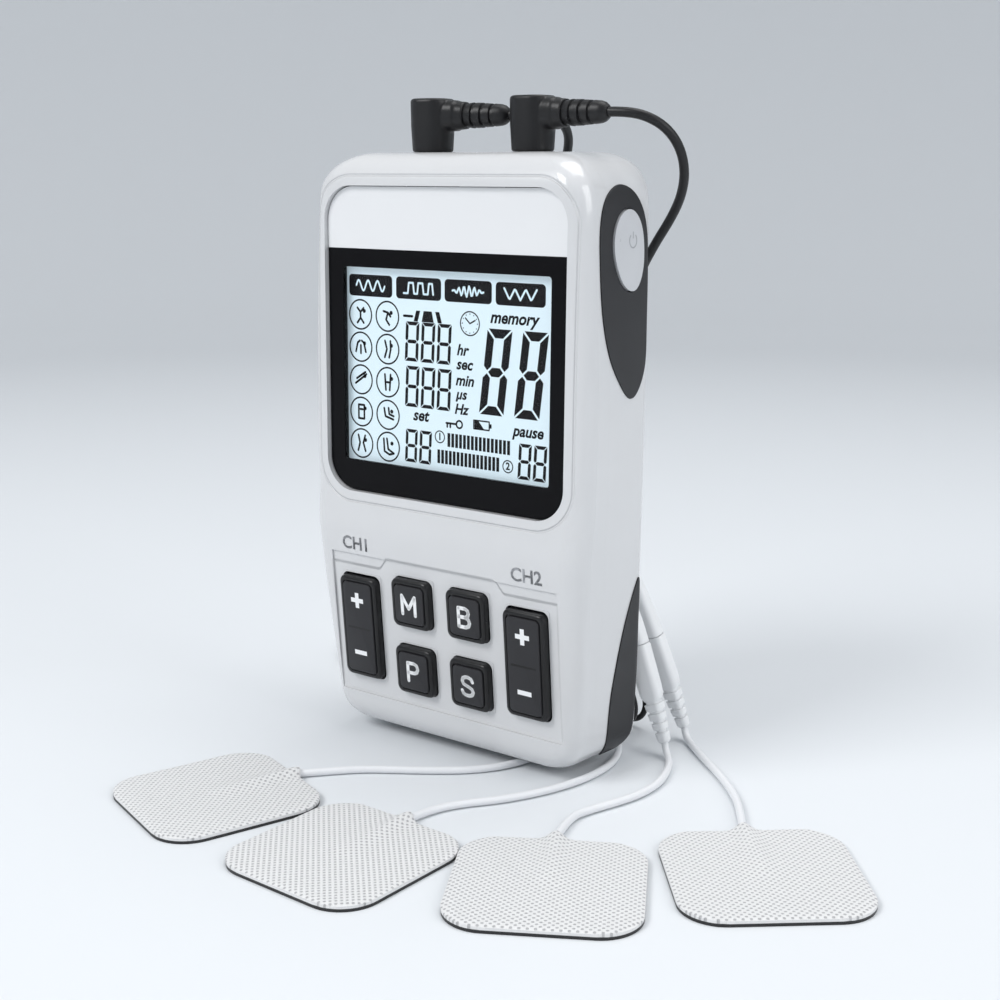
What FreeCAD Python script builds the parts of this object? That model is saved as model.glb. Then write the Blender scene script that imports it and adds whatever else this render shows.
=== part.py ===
import FreeCAD, Part
import Sketcher
import math
import os

# A two-channel nerve stimulator (TENS unit) that stands upright, with two output leads
# and four stick-on electrode pads. Millimetres, +Z up, +Y to the back of the unit.
# Everything is laid out about the unit's own axis (x = 0 at its middle, y = 0 at the face
# of the display window, z = 0 at the table), and every sub-part's Placement then carries
# it to the assembly's origin: the middle of the underside of the unit and its pads.

doc = FreeCAD.newDocument("tens_unit")
V = FreeCAD.Vector
X_AXIS, Y_AXIS, Z_AXIS = V(1, 0, 0), V(0, 1, 0), V(0, 0, 1)

SIZES = {
    "where the unit stands from the assembly's origin": {
        "unit_x": -33.44, "unit_y": 22.83,
    },
    "housing: outer form and walls": {
        "base_z": 2.2, "top_z": 146.0, "seam_y": 24.6, "back_y": 29.5, "wall": 2.0,
        "side_mid": 41.2, "side_mid_z": 85.0, "side_drop": 3.4, "side_span": 70.0,
        "rear_mid": 39.7, "rear_mid_z": 105.0, "rear_drop": 1.2, "rear_span": 90.0,
        "corner_top": 11.0, "corner_base": 8.0, "edge_top": 8.0, "edge_base": 6.0,
        "edge_back": 4.5, "edge_side": 5.0, "rim_proud": 1.2, "bulge_y": -2.5,
        "bulge_z": 57.0,
    },
    "display": {
        "display_z": 72.0, "display_lean": 0.8, "window_half": 35.3, "window_low": 64.5,
        "window_high": 138.2, "window_thick": 1.2, "window_corner": 8.0,
        "window_gap": 0.15, "view_half": 31.2, "view_low": 71.4, "view_high": 119.8,
        "glass_half": 33.2, "glass_low": 67.8, "glass_high": 123.4, "glass_thick": 2.2,
        "glass_y": 2.4, "light_thick": 2.6, "light_low": 71.6, "light_high": 119.6,
        "strip_wide": 2.0,
    },
    "keypad": {
        "keypad_lean": 4.5, "keypad_top_y": -1.9, "keypad_top_z": 50.0,
        "key_wide": 11.6, "key_tall": 12.3, "key_proud": 1.8, "key_corner": 2.0,
        "key_edge": 0.6, "key_column": 8.5, "upper_row_z": 38.5, "lower_row_z": 21.0,
        "hole_gap": 0.3, "flange_y": 2.35, "flange_thick": 0.9, "flange_side": 0.8,
        "stem_radius": 2.0, "rocker_wide": 11.8, "rocker_tall": 26.5,
        "rocker_column": 25.4, "rocker_z": 29.5, "rocker_gap": 0.5, "rocker_back": 3.0,
        "boss_tall": 4.6, "boss_back": 5.0, "pin_y": 3.6, "pin_radius": 0.7,
        "pin_gap": 0.06, "pin_long": 15.0, "plunger_z": 9.0, "plunger_radius": 1.6,
        "frame_y": 5.7, "frame_thick": 1.2, "frame_half": 35.0, "frame_low": -14.5,
        "frame_high": 15.5, "ear_in": 6.3, "ear_thick": 1.3, "ear_y": 2.5,
        "ear_half": 2.4, "recess_half": 34.3, "recess_low": 11.0, "recess_high": 48.5,
        "recess_deep": 0.5, "recess_corner": 5.0,
    },
    "circuit board and what it carries": {
        "board_y": 11.0, "board_thick": 1.6, "board_half": 34.0, "board_low": 9.0,
        "board_high": 128.0, "tact_side": 6.0, "tact_body": 2.2, "tact_stem": 0.8,
        "tact_stem_radius": 1.7, "tact_gap": 1.0, "chip_side": 12.0, "chip_thick": 1.6,
        "coil_wide": 15.0, "coil_deep": 10.5, "coil_tall": 13.0, "coil_column": 13.0,
        "coil_z": 84.0, "cap_radius": 3.2, "cap_long": 8.0, "cap_z": 106.0,
        "buzzer_radius": 6.0, "buzzer_thick": 6.5, "buzzer_z": 118.0,
    },
    "output jacks and plugs": {
        "jack_column": 14.65, "jack_y": 16.0, "jack_side": 9.0, "jack_low": 129.5,
        "jack_bore": 1.35, "collar_radius": 3.4, "plug_radius": 5.0, "plug_low": 146.1,
        "plug_high": 158.5, "arm_z": 154.5, "arm_radius": 3.3, "arm_long": 9.0,
        "boot_radius": 2.7, "boot_tip": 1.9, "boot_long": 20.5, "tip_radius": 1.2,
        "tip_long": 12.0, "left_yaw": 10.0,
    },
    "power button and its switch": {
        "button_proud": 0.7, "button_in": 36.4, "button_flange": 1.0, "button_gap": 0.3,
        "button_rim": 0.7, "switch_face": 34.2, "switch_deep": 6.0, "switch_y": 17.5,
        "switch_z": 125.0,
    },
    "grip inserts": {
        "grip_proud": 0.3, "grip_deep": 0.9, "grip_gap": 0.1, "grip_inner_x": 20.0,
        "grip_outer_x": 46.0,
    },
    "battery bay": {
        "cell_radius": 5.2, "cell_long": 44.5, "cell_pitch": 11.0, "cell_y": 21.4,
        "cell_low": 19.6, "tray_wall": 1.0, "tray_half": 23.2, "tray_low": 14.0,
        "tray_high": 70.0, "tray_front": 14.9, "tray_back": 27.2, "spring_radius": 3.4,
        "spring_wire": 0.45, "nub_radius": 2.7, "door_half": 25.0, "door_low": 12.5,
        "door_high": 71.5, "door_thick": 1.2, "door_gap": 0.2, "door_travel": 8.0,
    },
    "case screws": {
        "screw_low_x": 33.0, "screw_low_z": 17.0, "screw_high_x": 27.0,
        "screw_high_z": 137.0, "screw_head": 2.4, "screw_shank": 1.2, "screw_long": 9.0,
        "post_radius": 3.2, "post_y": 15.0,
    },
    "leads and connectors": {
        "lead_wide": 2.2, "branch_wide": 1.5, "pigtail_wide": 1.8, "coil_mean": 12.1,
        "coil_band": 3.6, "coil_high": 7.2, "coil_foot": 0.45, "tie_wide": 4.0,
        "tie_thick": 0.4, "split_long": 9.5, "split_wide": 6.0, "split_high": 3.4,
        "plug_body_long": 19.0, "plug_body_wide": 5.2, "socket_long": 14.0,
        "socket_wide": 5.6, "relief_long": 11.0, "relief_wide": 3.0, "pin_out": 8.0,
        "pin_wide": 2.0, "body_thick": 4.4,
    },
    "electrode pads": {
        "pad_side": 40.0, "pad_corner": 9.0, "cloth_thick": 0.9, "gel_thick": 0.7,
        "sleeve_radius": 1.5, "sleeve_in": 23.0, "sleeve_out": 1.5,
    },
}

sheet = doc.addObject("Spreadsheet::Sheet", "dims")
size = {}
row = 1
for heading, cells in SIZES.items():
    sheet.set(f"A{row}", heading)
    row += 1
    for alias, value in cells.items():
        sheet.set(f"A{row}", alias)
        sheet.set(f"B{row}", str(value))
        sheet.setAlias(f"B{row}", alias)
        size[alias] = value
        row += 1
doc.recompute()

LEAN = "dims.keypad_lean * 1 deg"


def bind(thing, **expressions):
    """Ties properties to the sheet: Length="dims.wall" and so on."""
    for name, expression in expressions.items():
        thing.setExpression(name.replace("__", "."), str(expression))


def put(thing, x="0", y="0", z="0"):
    """Ties a thing's place to the sheet."""
    bind(thing, Placement__Base__x=x, Placement__Base__y=y, Placement__Base__z=z)


def lean(thing, angle):
    """Ties a thing's backward lean about X, in degrees, to the sheet."""
    thing.Placement.Rotation = FreeCAD.Rotation(X_AXIS, 1)
    bind(thing, Placement__Rotation__Angle=angle)


def block(name, wide, deep, tall, x, y, z):
    thing = doc.addObject("Part::Box", name)
    bind(thing, Length=wide, Width=deep, Height=tall)
    put(thing, x, y, z)
    return thing


def rod(name, radius, long, x, y, z, way=Z_AXIS):
    thing = doc.addObject("Part::Cylinder", name)
    thing.Placement = FreeCAD.Placement(V(), FreeCAD.Rotation(Z_AXIS, way))
    bind(thing, Radius=radius, Height=long)
    put(thing, x, y, z)
    return thing


def cut(name, base, tool):
    thing = doc.addObject("Part::Cut", name)
    thing.Base, thing.Tool = base, tool
    return thing


def common(name, base, tool):
    thing = doc.addObject("Part::Common", name)
    thing.Base, thing.Tool = base, tool
    return thing


def fuse(name, things):
    thing = doc.addObject("Part::MultiFuse", name)
    thing.Shapes = things
    return thing


def solid(name, shape):
    thing = doc.addObject("Part::Feature", name)
    thing.Shape = shape
    return thing


nodes = []


def node(name, things):
    """A sub-part: one solid, or like solids together, carried to its place."""
    thing = doc.addObject("Part::Compound", name)
    thing.Links = things
    thing.Label = name
    put(thing, "dims.unit_x", "dims.unit_y")
    nodes.append(thing)
    return thing


def sub_part(thing, name):
    """A sub-part that is already one object of the document."""
    thing.Label = name
    put(thing, "dims.unit_x", "dims.unit_y")
    nodes.append(thing)
    return thing


# ---------------------------------------------------------------- the housing's form
# The sides bow out a little at mid height, the corners and edges are rounded, the display
# leans back slightly, the keypad recedes towards the base, and a soft roll joins the two.

def rounded_end(z, low, high, low_radius, high_radius):
    """How far a rounded end has pulled in at height z."""
    if z < low + low_radius:
        reach, radius = low + low_radius - z, low_radius
    elif z > high - high_radius:
        reach, radius = z - high + high_radius, high_radius
    else:
        return 0.0
    return radius - math.sqrt(max(radius**2 - reach**2, 0.0))


def face_y(z):
    """Where the front face lies at height z, before its ends are rounded."""
    rim = math.tan(math.radians(size["display_lean"])) * (z - size["display_z"])
    rim -= size["rim_proud"]
    below = math.tan(math.radians(size["keypad_lean"])) * (size["keypad_top_z"] - z)
    below += size["keypad_top_y"]
    if z <= size["keypad_top_z"]:
        return below
    roll_end = 2 * size["bulge_z"] - size["keypad_top_z"]
    if z >= roll_end:
        return rim
    share = (z - size["keypad_top_z"]) / (roll_end - size["keypad_top_z"])
    ends = below + (rim - below) * share * share * (3 - 2 * share)
    middle = size["bulge_y"] - 0.5 * (size["keypad_top_y"] - size["rim_proud"])
    return ends + middle * 0.25 * math.sin(math.pi * share) ** 2


def half_width(z, mid, mid_z, drop, span, inset):
    low, high = size["base_z"] + inset, size["top_z"] - inset
    bow = drop * ((z - mid_z) / span) ** 2
    corners = rounded_end(
        z, low, high, size["corner_base"] - inset, size["corner_top"] - inset
    )
    return mid - inset - bow - corners


def section(z, inset):
    """The housing's outline at height z, all round inside its surface by inset."""
    low, high = size["base_z"] + inset, size["top_z"] - inset
    front_half = half_width(
        z, size["side_mid"], size["side_mid_z"], size["side_drop"], size["side_span"], inset
    )
    rear_half = half_width(
        z, size["rear_mid"], size["rear_mid_z"], size["rear_drop"], size["rear_span"], inset
    )
    front = face_y(z) + inset + rounded_end(
        z, low, high, size["edge_base"] - inset, size["edge_top"] - inset
    )
    back = size["back_y"] - inset - rounded_end(
        z, low, high, size["edge_back"] - inset, size["edge_back"] - inset
    )
    turn = size["edge_side"] - 0.6 * inset
    rear_turn = max(size["edge_back"] - inset, 1.5)
    half = math.sqrt(0.5)

    def arc(centre_x, centre_y, radius, ways):
        spots = [V(centre_x + radius * a, centre_y + radius * b, z) for a, b in ways]
        return Part.Arc(*spots).toShape()

    def line(a, b):
        return Part.LineSegment(V(*a, z), V(*b, z)).toShape()

    fx, rx = front_half - turn, rear_half - rear_turn
    fy, ry = front + turn, back - rear_turn
    return Part.Wire([
        line((-fx, front), (fx, front)),
        arc(fx, fy, turn, [(0, -1), (half, -half), (1, 0)]),
        line((front_half, fy), (rear_half, ry)),
        arc(rx, ry, rear_turn, [(1, 0), (half, half), (0, 1)]),
        line((rx, back), (-rx, back)),
        arc(-rx, ry, rear_turn, [(0, 1), (-half, half), (-1, 0)]),
        line((-rear_half, ry), (-front_half, fy)),
        arc(-fx, fy, turn, [(-1, 0), (-half, -half), (0, -1)]),
    ])


def housing_form(inset):
    """The housing's solid form, inset from its outer surface all round."""
    low, high = size["base_z"] + inset, size["top_z"] - inset
    corner = size["corner_top"] - inset
    foot = size["corner_base"] - inset
    steps = 6
    levels = [low + foot * (1 - math.cos(math.pi / 2 * i / steps)) for i in range(steps)]
    middle_low, middle_high, count = low + foot, high - corner, 16
    levels += [
        middle_low + (middle_high - middle_low) * i / count for i in range(count + 1)
    ]
    levels += [
        high - corner * (1 - math.sin(math.pi / 2 * (1 - i / steps)))
        for i in range(steps - 1, -1, -1)
    ]
    levels = sorted(set(round(level, 4) for level in levels))
    return Part.makeLoft([section(level, inset) for level in levels], True, False)


def outline(points, grow, low_x, high_x):
    """A prism along X on a smooth closed outline in Y and Z, grown outwards."""
    spots = [V(low_x, y, z) for y, z in points]
    centre = sum(spots, V()) * (1 / len(spots))
    grown = [spot + (spot - centre).normalize() * grow for spot in spots]
    curve = Part.BSplineCurve()
    curve.interpolate(grown, PeriodicFlag=True)
    face = Part.Face(Part.Wire([curve.toShape()]))
    return face.extrude(V(high_x - low_x, 0, 0))


def mirrored(shape):
    return shape.mirror(V(), X_AXIS)


# The grip inserts: a long teardrop high on each side, and a leaf low on each side.
UPPER_GRIP = [(13.5, 138.6), (7.0, 134.0), (5.2, 124.0), (5.6, 112.0), (9.0, 101.0),
              (14.0, 94.5), (19.5, 91.0), (24.0, 94.5), (26.0, 106.0), (26.0, 122.0),
              (23.0, 134.0)]
LOWER_GRIP = [(25.0, 46.6), (20.3, 38.0), (16.2, 24.5), (14.8, 11.0), (17.5, 3.4),
              (22.0, 3.4), (25.6, 12.0), (26.6, 26.0), (26.3, 38.0)]
POWER_BUTTON = [(16.0, 133.4), (11.6, 130.0), (10.6, 124.5), (12.4, 119.5), (15.6, 116.2),
                (19.6, 115.6), (22.4, 118.5), (23.4, 124.5), (21.4, 131.0)]

outer_form = housing_form(0.0)
inner_form = housing_form(size["wall"])
grip_skin = housing_form(-size["grip_proud"]).cut(housing_form(size["grip_deep"]))
grip_seat = housing_form(-1.0).cut(housing_form(size["grip_deep"] + size["grip_gap"]))
grip_span = (size["grip_inner_x"], size["grip_outer_x"])
upper_grip = outline(UPPER_GRIP, 0, *grip_span).common(grip_skin)
lower_grip = outline(LOWER_GRIP, 0, *grip_span).common(grip_skin)
upper_seat = outline(UPPER_GRIP, size["grip_gap"], *grip_span).common(grip_seat)
lower_seat = outline(LOWER_GRIP, size["grip_gap"], *grip_span).common(grip_seat)
button_hole = outline(POWER_BUTTON, size["button_gap"], *grip_span)

shell = outer_form.cut(inner_form)
for seat in (upper_seat, lower_seat):
    shell = shell.cut(seat).cut(mirrored(seat))
shell = solid("housing_walls", shell.cut(button_hole))


# ---------------------------------------------------------------- tools that open the shells
def window_prism(name, grow, thick, y):
    """The display window's outline, lower corners rounded, as a leaning plate."""
    plate = block(
        name + "_plate", f"2 * (dims.window_half + {grow})", thick,
        f"dims.window_high - dims.window_low + 2 * {grow}",
        f"-dims.window_half - {grow}", y, f"dims.window_low - dims.display_z - {grow}",
    )
    doc.recompute()
    corners = []
    for number, edge in enumerate(plate.Shape.Edges, 1):
        upright = abs(edge.tangentAt(edge.FirstParameter).y) > 0.9
        if upright:
            corners.append((number, size["window_corner"], size["window_corner"]))
    thing = doc.addObject("Part::Fillet", name)
    thing.Base, thing.Edges = plate, corners
    put(thing, z="dims.display_z")
    lean(thing, "-dims.display_lean")
    return thing


def keypad_tool(name, wide, deep, tall, column, row_z, y):
    """A block square to the keypad's face, centred on a key's place."""
    inner = block(name + "_block", wide, deep, tall, f"-({wide}) / 2", y, f"-({tall}) / 2")
    thing = doc.addObject("Part::Compound", name)
    thing.Links = [inner]
    put(thing, column, keypad_y(row_z), row_z)
    lean(thing, "dims.keypad_lean")
    return thing


def keypad_y(row_z):
    """The keypad's face at a row, as an expression."""
    return f"dims.keypad_top_y + (dims.keypad_top_z - ({row_z})) * tan({LEAN})"


KEYS = {
    "key_m": ("-dims.key_column", "dims.upper_row_z"),
    "key_b": ("dims.key_column", "dims.upper_row_z"),
    "key_p": ("-dims.key_column", "dims.lower_row_z"),
    "key_s": ("dims.key_column", "dims.lower_row_z"),
}
ROCKERS = {
    "rocker_ch1": "-dims.rocker_column",
    "rocker_ch2": "dims.rocker_column",
}
JACKS = {"ch1": "-dims.jack_column", "ch2": "dims.jack_column"}

openings = [
    window_prism("window_seat", "dims.window_gap", "dims.window_thick + 4", "-4"),
]
view_opening = block(
    "view_opening", "2 * dims.view_half", "12", "dims.view_high - dims.view_low",
    "-dims.view_half", "-4", "dims.view_low",
)
openings.append(view_opening)
recess = keypad_tool(
    "keypad_recess", "2 * dims.recess_half", "4", "dims.recess_high - dims.recess_low",
    "0", "(dims.recess_high + dims.recess_low) / 2", "dims.recess_deep - 4",
)
openings.append(recess)
for key, (column, row_z) in KEYS.items():
    openings.append(keypad_tool(
        key + "_hole", "dims.key_wide + 2 * dims.hole_gap", "9",
        "dims.key_tall + 2 * dims.hole_gap", column, row_z, "-4",
    ))
for key, column in ROCKERS.items():
    openings.append(keypad_tool(
        key + "_hole", "dims.rocker_wide + 2 * dims.hole_gap", "9",
        "dims.rocker_tall + 2 * dims.rocker_gap", column, "dims.rocker_z", "-4",
    ))
for channel, column in JACKS.items():
    openings.append(rod(
        f"jack_hole_{channel}", "dims.collar_radius + 0.1", "8", column, "dims.jack_y",
        "dims.top_z - 5",
    ))

# ---------------------------------------------------------------- the two shells
front_space = block(
    "front_space", "120", "60 + dims.seam_y", "200", "-60", "-60", "-20",
)
front_half_shell = common("front_half_shell", shell, front_space)
SCREWS = [
    (f"{side} * dims.screw_{end}_x", f"dims.screw_{end}_z", side)
    for end in ("low", "high") for side in (-1, 1)
]
posts = []
for number, (at_x, at_z, side) in enumerate(SCREWS, 1):
    post = rod(
        f"post_{number}", "dims.post_radius", "dims.seam_y - dims.post_y", at_x,
        "dims.post_y", at_z, Y_AXIS,
    )
    web = block(
        f"post_web_{number}", "10", "dims.seam_y - dims.post_y", "2",
        f"{at_x} + {side} * 7 - 5", "dims.post_y", f"{at_z} - 1",
    )
    bore = rod(
        f"post_bore_{number}", "dims.screw_shank", "dims.screw_long + 2", at_x,
        "dims.seam_y - dims.screw_long + 1", at_z, Y_AXIS,
    )
    blank = fuse(f"post_and_web_{number}", [post, web])
    posts.append(cut(f"drilled_post_{number}", blank, bore))
inner_solid = solid("inner_solid", inner_form.copy())
inside_front = common("inside_posts", fuse("post_group", posts), inner_solid)
front_body = fuse("front_body", [front_half_shell, inside_front])
sub_part(cut("front_shell", front_body, fuse("front_openings", openings)), "front_shell")

rear_space = block("rear_space", "120", "40", "200", "-60", "dims.seam_y", "-20")
rear_half_shell = common("rear_half_shell", shell, rear_space)
door_opening = block(
    "door_opening", "2 * (dims.door_half + dims.door_gap)", "dims.door_thick + 3",
    "dims.door_high - dims.door_low + 2 * dims.door_gap",
    "-dims.door_half - dims.door_gap", "dims.back_y - dims.door_thick - dims.door_gap",
    "dims.door_low - dims.door_gap",
)
bay_opening = block(
    "bay_opening", "2 * dims.tray_half + 0.4", "10", "dims.tray_high - dims.tray_low + 0.4",
    "-dims.tray_half - 0.2", "dims.seam_y - 1", "dims.tray_low - 0.2",
)
door_track = block(
    "door_track", "2 * (dims.door_half + dims.door_gap)", "dims.door_thick + 3",
    "dims.door_travel + 2", "-dims.door_half - dims.door_gap",
    "dims.back_y - dims.door_thick - dims.door_gap", "dims.door_low - dims.door_travel - 1",
)
screw_sinks = []
for number, (at_x, at_z, side) in enumerate(SCREWS, 1):
    screw_sinks.append(rod(
        f"screw_bore_{number}", "dims.screw_shank + 0.2", "12", at_x, "dims.seam_y - 4",
        at_z, Y_AXIS,
    ))
    screw_sinks.append(rod(
        f"screw_sink_{number}", "dims.screw_head + 0.3", "6", at_x, "dims.back_y - 1.2",
        at_z, Y_AXIS,
    ))
rear_tools = fuse("rear_tools", [door_opening, bay_opening, door_track] + screw_sinks)
sub_part(cut("rear_shell", rear_half_shell, rear_tools), "rear_shell")

screws = []
for number, (at_x, at_z, side) in enumerate(SCREWS, 1):
    head = rod(
        f"screw_head_{number}", "dims.screw_head", "1.0", at_x, "dims.back_y - 1.15",
        at_z, Y_AXIS,
    )
    shank = rod(
        f"screw_shank_{number}", "dims.screw_shank - 0.05",
        "dims.back_y - dims.seam_y + dims.screw_long - 1.6", at_x,
        "dims.seam_y - dims.screw_long + 1.5", at_z, Y_AXIS,
    )
    screws.append(fuse(f"screw_{number}", [head, shank]))
node("case_screws", screws)

node("grip_upper_right", [solid("upper_grip_r", upper_grip.cut(button_hole))])
node("grip_upper_left", [solid("upper_grip_l", mirrored(upper_grip))])
node("grip_lower_right", [solid("lower_grip_r", lower_grip)])
node("grip_lower_left", [solid("lower_grip_l", mirrored(lower_grip))])

# ---------------------------------------------------------------- display
window = window_prism("window_sheet", "0", "dims.window_thick - 0.05", "0")
node("display_window", [window])
lcd_tall = "dims.glass_high - dims.glass_low"


def behind_window(name, wide, deep, tall, y, z):
    thing = block(name, wide, deep, tall, f"-({wide}) / 2", y, f"{z} - dims.display_z")
    holder = doc.addObject("Part::Compound", name + "_leaning")
    holder.Links = [thing]
    put(holder, z="dims.display_z")
    lean(holder, "-dims.display_lean")
    return holder


node("lcd_panel", [behind_window(
    "lcd_glass", "2 * dims.glass_half", "dims.glass_thick", lcd_tall, "dims.glass_y",
    "dims.glass_low",
)])
light_y = "dims.glass_y + dims.glass_thick + 0.1"
node("lcd_backlight", [behind_window(
    "light_panel", "2 * dims.view_half", "dims.light_thick",
    "dims.light_high - dims.light_low", light_y, "dims.light_low",
)])
strip_deep = "dims.board_y - dims.glass_y - dims.glass_thick - 1"
strips = []
for name, row_z in (
    ("lower_strip", "dims.glass_low + 0.6"),
    ("upper_strip", "dims.glass_high - 0.6 - dims.strip_wide"),
):
    strips.append(behind_window(
        name, "2 * dims.view_half", strip_deep, "dims.strip_wide",
        "dims.glass_y + dims.glass_thick", row_z,
    ))
node("contact_strips", strips)

# ---------------------------------------------------------------- circuit board
board_blank = block(
    "board_blank", "2 * dims.board_half", "dims.board_thick",
    "dims.board_high - dims.board_low", "-dims.board_half", "dims.board_y",
    "dims.board_low",
)
node("main_board", [board_blank])
board_back = "dims.board_y + dims.board_thick"

TACTS = [(column, row_z, 0) for column, row_z in KEYS.values()]
TACTS += [(column, "dims.rocker_z", way) for column in ROCKERS.values() for way in (-1, 1)]
tacts = []
for number, (column, row_z, way) in enumerate(TACTS, 1):
    at_z = f"{row_z} + {way} * dims.plunger_z + 0.5"
    base = block(
        f"tact_base_{number}", "dims.tact_side", "dims.tact_body", "dims.tact_side",
        f"{column} - dims.tact_side / 2", "dims.board_y - dims.tact_body",
        f"{at_z} - dims.tact_side / 2",
    )
    stem = rod(
        f"tact_stem_{number}", "dims.tact_stem_radius", "dims.tact_stem", column,
        "dims.board_y - dims.tact_body - dims.tact_stem", at_z, Y_AXIS,
    )
    tacts.append(fuse(f"tact_{number}", [base, stem]))
node("tact_switches", tacts)

chips = [
    block("control_chip", "dims.chip_side", "dims.chip_thick", "dims.chip_side",
          "-dims.chip_side / 2", board_back, "96"),
    block("memory_chip", "5", "dims.chip_thick", "4", "14", board_back, "102"),
    block("clock_crystal", "4", "3", "10", "-18", board_back, "96"),
    block("drive_chip", "9", "dims.chip_thick", "7", "-33", board_back, "80"),
]
node("board_chips", chips)
transformers = []
for channel, side in (("ch1", -1), ("ch2", 1)):
    core = block(
        f"core_{channel}", "dims.coil_wide", "dims.coil_deep", "dims.coil_tall",
        f"{side} * dims.coil_column - dims.coil_wide / 2", board_back, "dims.coil_z - 6.5",
    )
    transformers.append(core)
node("pulse_transformers", transformers)
caps = []
for side in (-1, 1):
    caps.append(rod(
        f"capacitor_{side + 2}", "dims.cap_radius", "dims.cap_long", f"{side} * 27",
        f"{board_back} + dims.cap_radius", "dims.cap_z - 4",
    ))
node("filter_capacitors", caps)
node("buzzer", [rod(
    "buzzer_can", "dims.buzzer_radius", "dims.buzzer_thick", "0", board_back,
    "dims.buzzer_z", Y_AXIS,
)])

# ---------------------------------------------------------------- keys
def rectangle(body, name, wide, tall, y):
    """A centred rectangle on the body's upright plane, at depth y behind the face."""
    sketch = body.newObject("Sketcher::SketchObject", name)
    plane = [f for f in body.Origin.OriginFeatures if f.Role == "XZ_Plane"][0]
    sketch.AttachmentSupport = [(plane, "")]
    sketch.MapMode = "FlatFace"
    bind(sketch, AttachmentOffset__Base__z=f"-({y})")
    corners = [V(-2, -2, 0), V(2, -2, 0), V(2, 2, 0), V(-2, 2, 0)]
    for i in range(4):
        sketch.addGeometry(Part.LineSegment(corners[i], corners[(i + 1) % 4]), False)
    for i in range(4):
        sketch.addConstraint(Sketcher.Constraint("Coincident", i, 2, (i + 1) % 4, 1))
    for i, way in enumerate(("Horizontal", "Vertical", "Horizontal", "Vertical")):
        sketch.addConstraint(Sketcher.Constraint(way, i))
    wide_at = sketch.addConstraint(Sketcher.Constraint("DistanceX", 0, 1, 0, 2, 4.0))
    tall_at = sketch.addConstraint(Sketcher.Constraint("DistanceY", 1, 1, 1, 2, 4.0))
    sketch.addConstraint(Sketcher.Constraint("Symmetric", 0, 1, 2, 1, -1, 1))
    sketch.setExpression(f"Constraints[{wide_at}]", wide)
    sketch.setExpression(f"Constraints[{tall_at}]", tall)
    return sketch


def disc(body, name, radius, y, at_z="0"):
    """A circle on the body's upright plane."""
    sketch = body.newObject("Sketcher::SketchObject", name)
    plane = [f for f in body.Origin.OriginFeatures if f.Role == "XZ_Plane"][0]
    sketch.AttachmentSupport = [(plane, "")]
    sketch.MapMode = "FlatFace"
    bind(sketch, AttachmentOffset__Base__z=f"-({y})", AttachmentOffset__Base__y=at_z)
    sketch.addGeometry(Part.Circle(V(), Z_AXIS, 1.0), False)
    sketch.addConstraint(Sketcher.Constraint("Coincident", 0, 3, -1, 1))
    at = sketch.addConstraint(Sketcher.Constraint("Radius", 0, 1.0))
    sketch.setExpression(f"Constraints[{at}]", radius)
    return sketch


def pad_out(body, sketch, long):
    """Pads a sketch towards the front of the key."""
    pad = body.newObject("PartDesign::Pad", sketch.Name + "_pad")
    pad.Profile = sketch
    bind(pad, Length=long)
    doc.recompute()
    return pad


def cap_edges(shape, front_y, upright):
    """The cap's four corner edges, or the edges round its front face."""
    found = []
    for number, edge in enumerate(shape.Edges, 1):
        way = edge.tangentAt(edge.FirstParameter)
        box = edge.BoundBox
        if upright and abs(way.y) > 0.9 and box.YMin < front_y + 0.1:
            found.append(f"Edge{number}")
        if not upright and box.YMax < front_y + 0.01:
            found.append(f"Edge{number}")
    return found


def round_cap(body, base, corner, edge):
    front = -size["key_proud"]
    corners = body.newObject("PartDesign::Fillet", body.Name + "_corners")
    corners.Base = (base, cap_edges(base.Shape, front, True))
    bind(corners, Radius=corner)
    doc.recompute()
    rim = body.newObject("PartDesign::Fillet", body.Name + "_rim")
    rim.Base = (corners, cap_edges(corners.Shape, front, False))
    bind(rim, Radius=edge)
    doc.recompute()
    return rim


def on_keypad(body, name, column, row_z):
    body.Label = name
    put(body, f"dims.unit_x + {column}", f"dims.unit_y + {keypad_y(row_z)}", row_z)
    lean(body, "dims.keypad_lean")
    nodes.append(body)


stem_room = (
    "(dims.board_y - dims.tact_body - dims.tact_stem - dims.tact_gap - ({face})) / cos("
    + LEAN + ")"
)
for key, (column, row_z) in KEYS.items():
    body = doc.addObject("PartDesign::Body", key)
    cap = pad_out(
        body, rectangle(body, key + "_cap", "dims.key_wide", "dims.key_tall", "dims.flange_y"),
        "dims.flange_y + dims.key_proud",
    )
    round_cap(body, cap, "dims.key_corner", "dims.key_edge")
    pad_out(
        body,
        rectangle(
            body, key + "_flange", "dims.key_wide + 2 * dims.flange_side",
            "dims.key_tall + 2 * dims.flange_side", "dims.flange_y + dims.flange_thick",
        ),
        "dims.flange_thick",
    )
    stem_end = stem_room.format(face=keypad_y(row_z))
    pad_out(
        body, disc(body, key + "_stem", "dims.stem_radius", stem_end),
        f"{stem_end} - dims.flange_y",
    )
    on_keypad(body, key, column, row_z)

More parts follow.
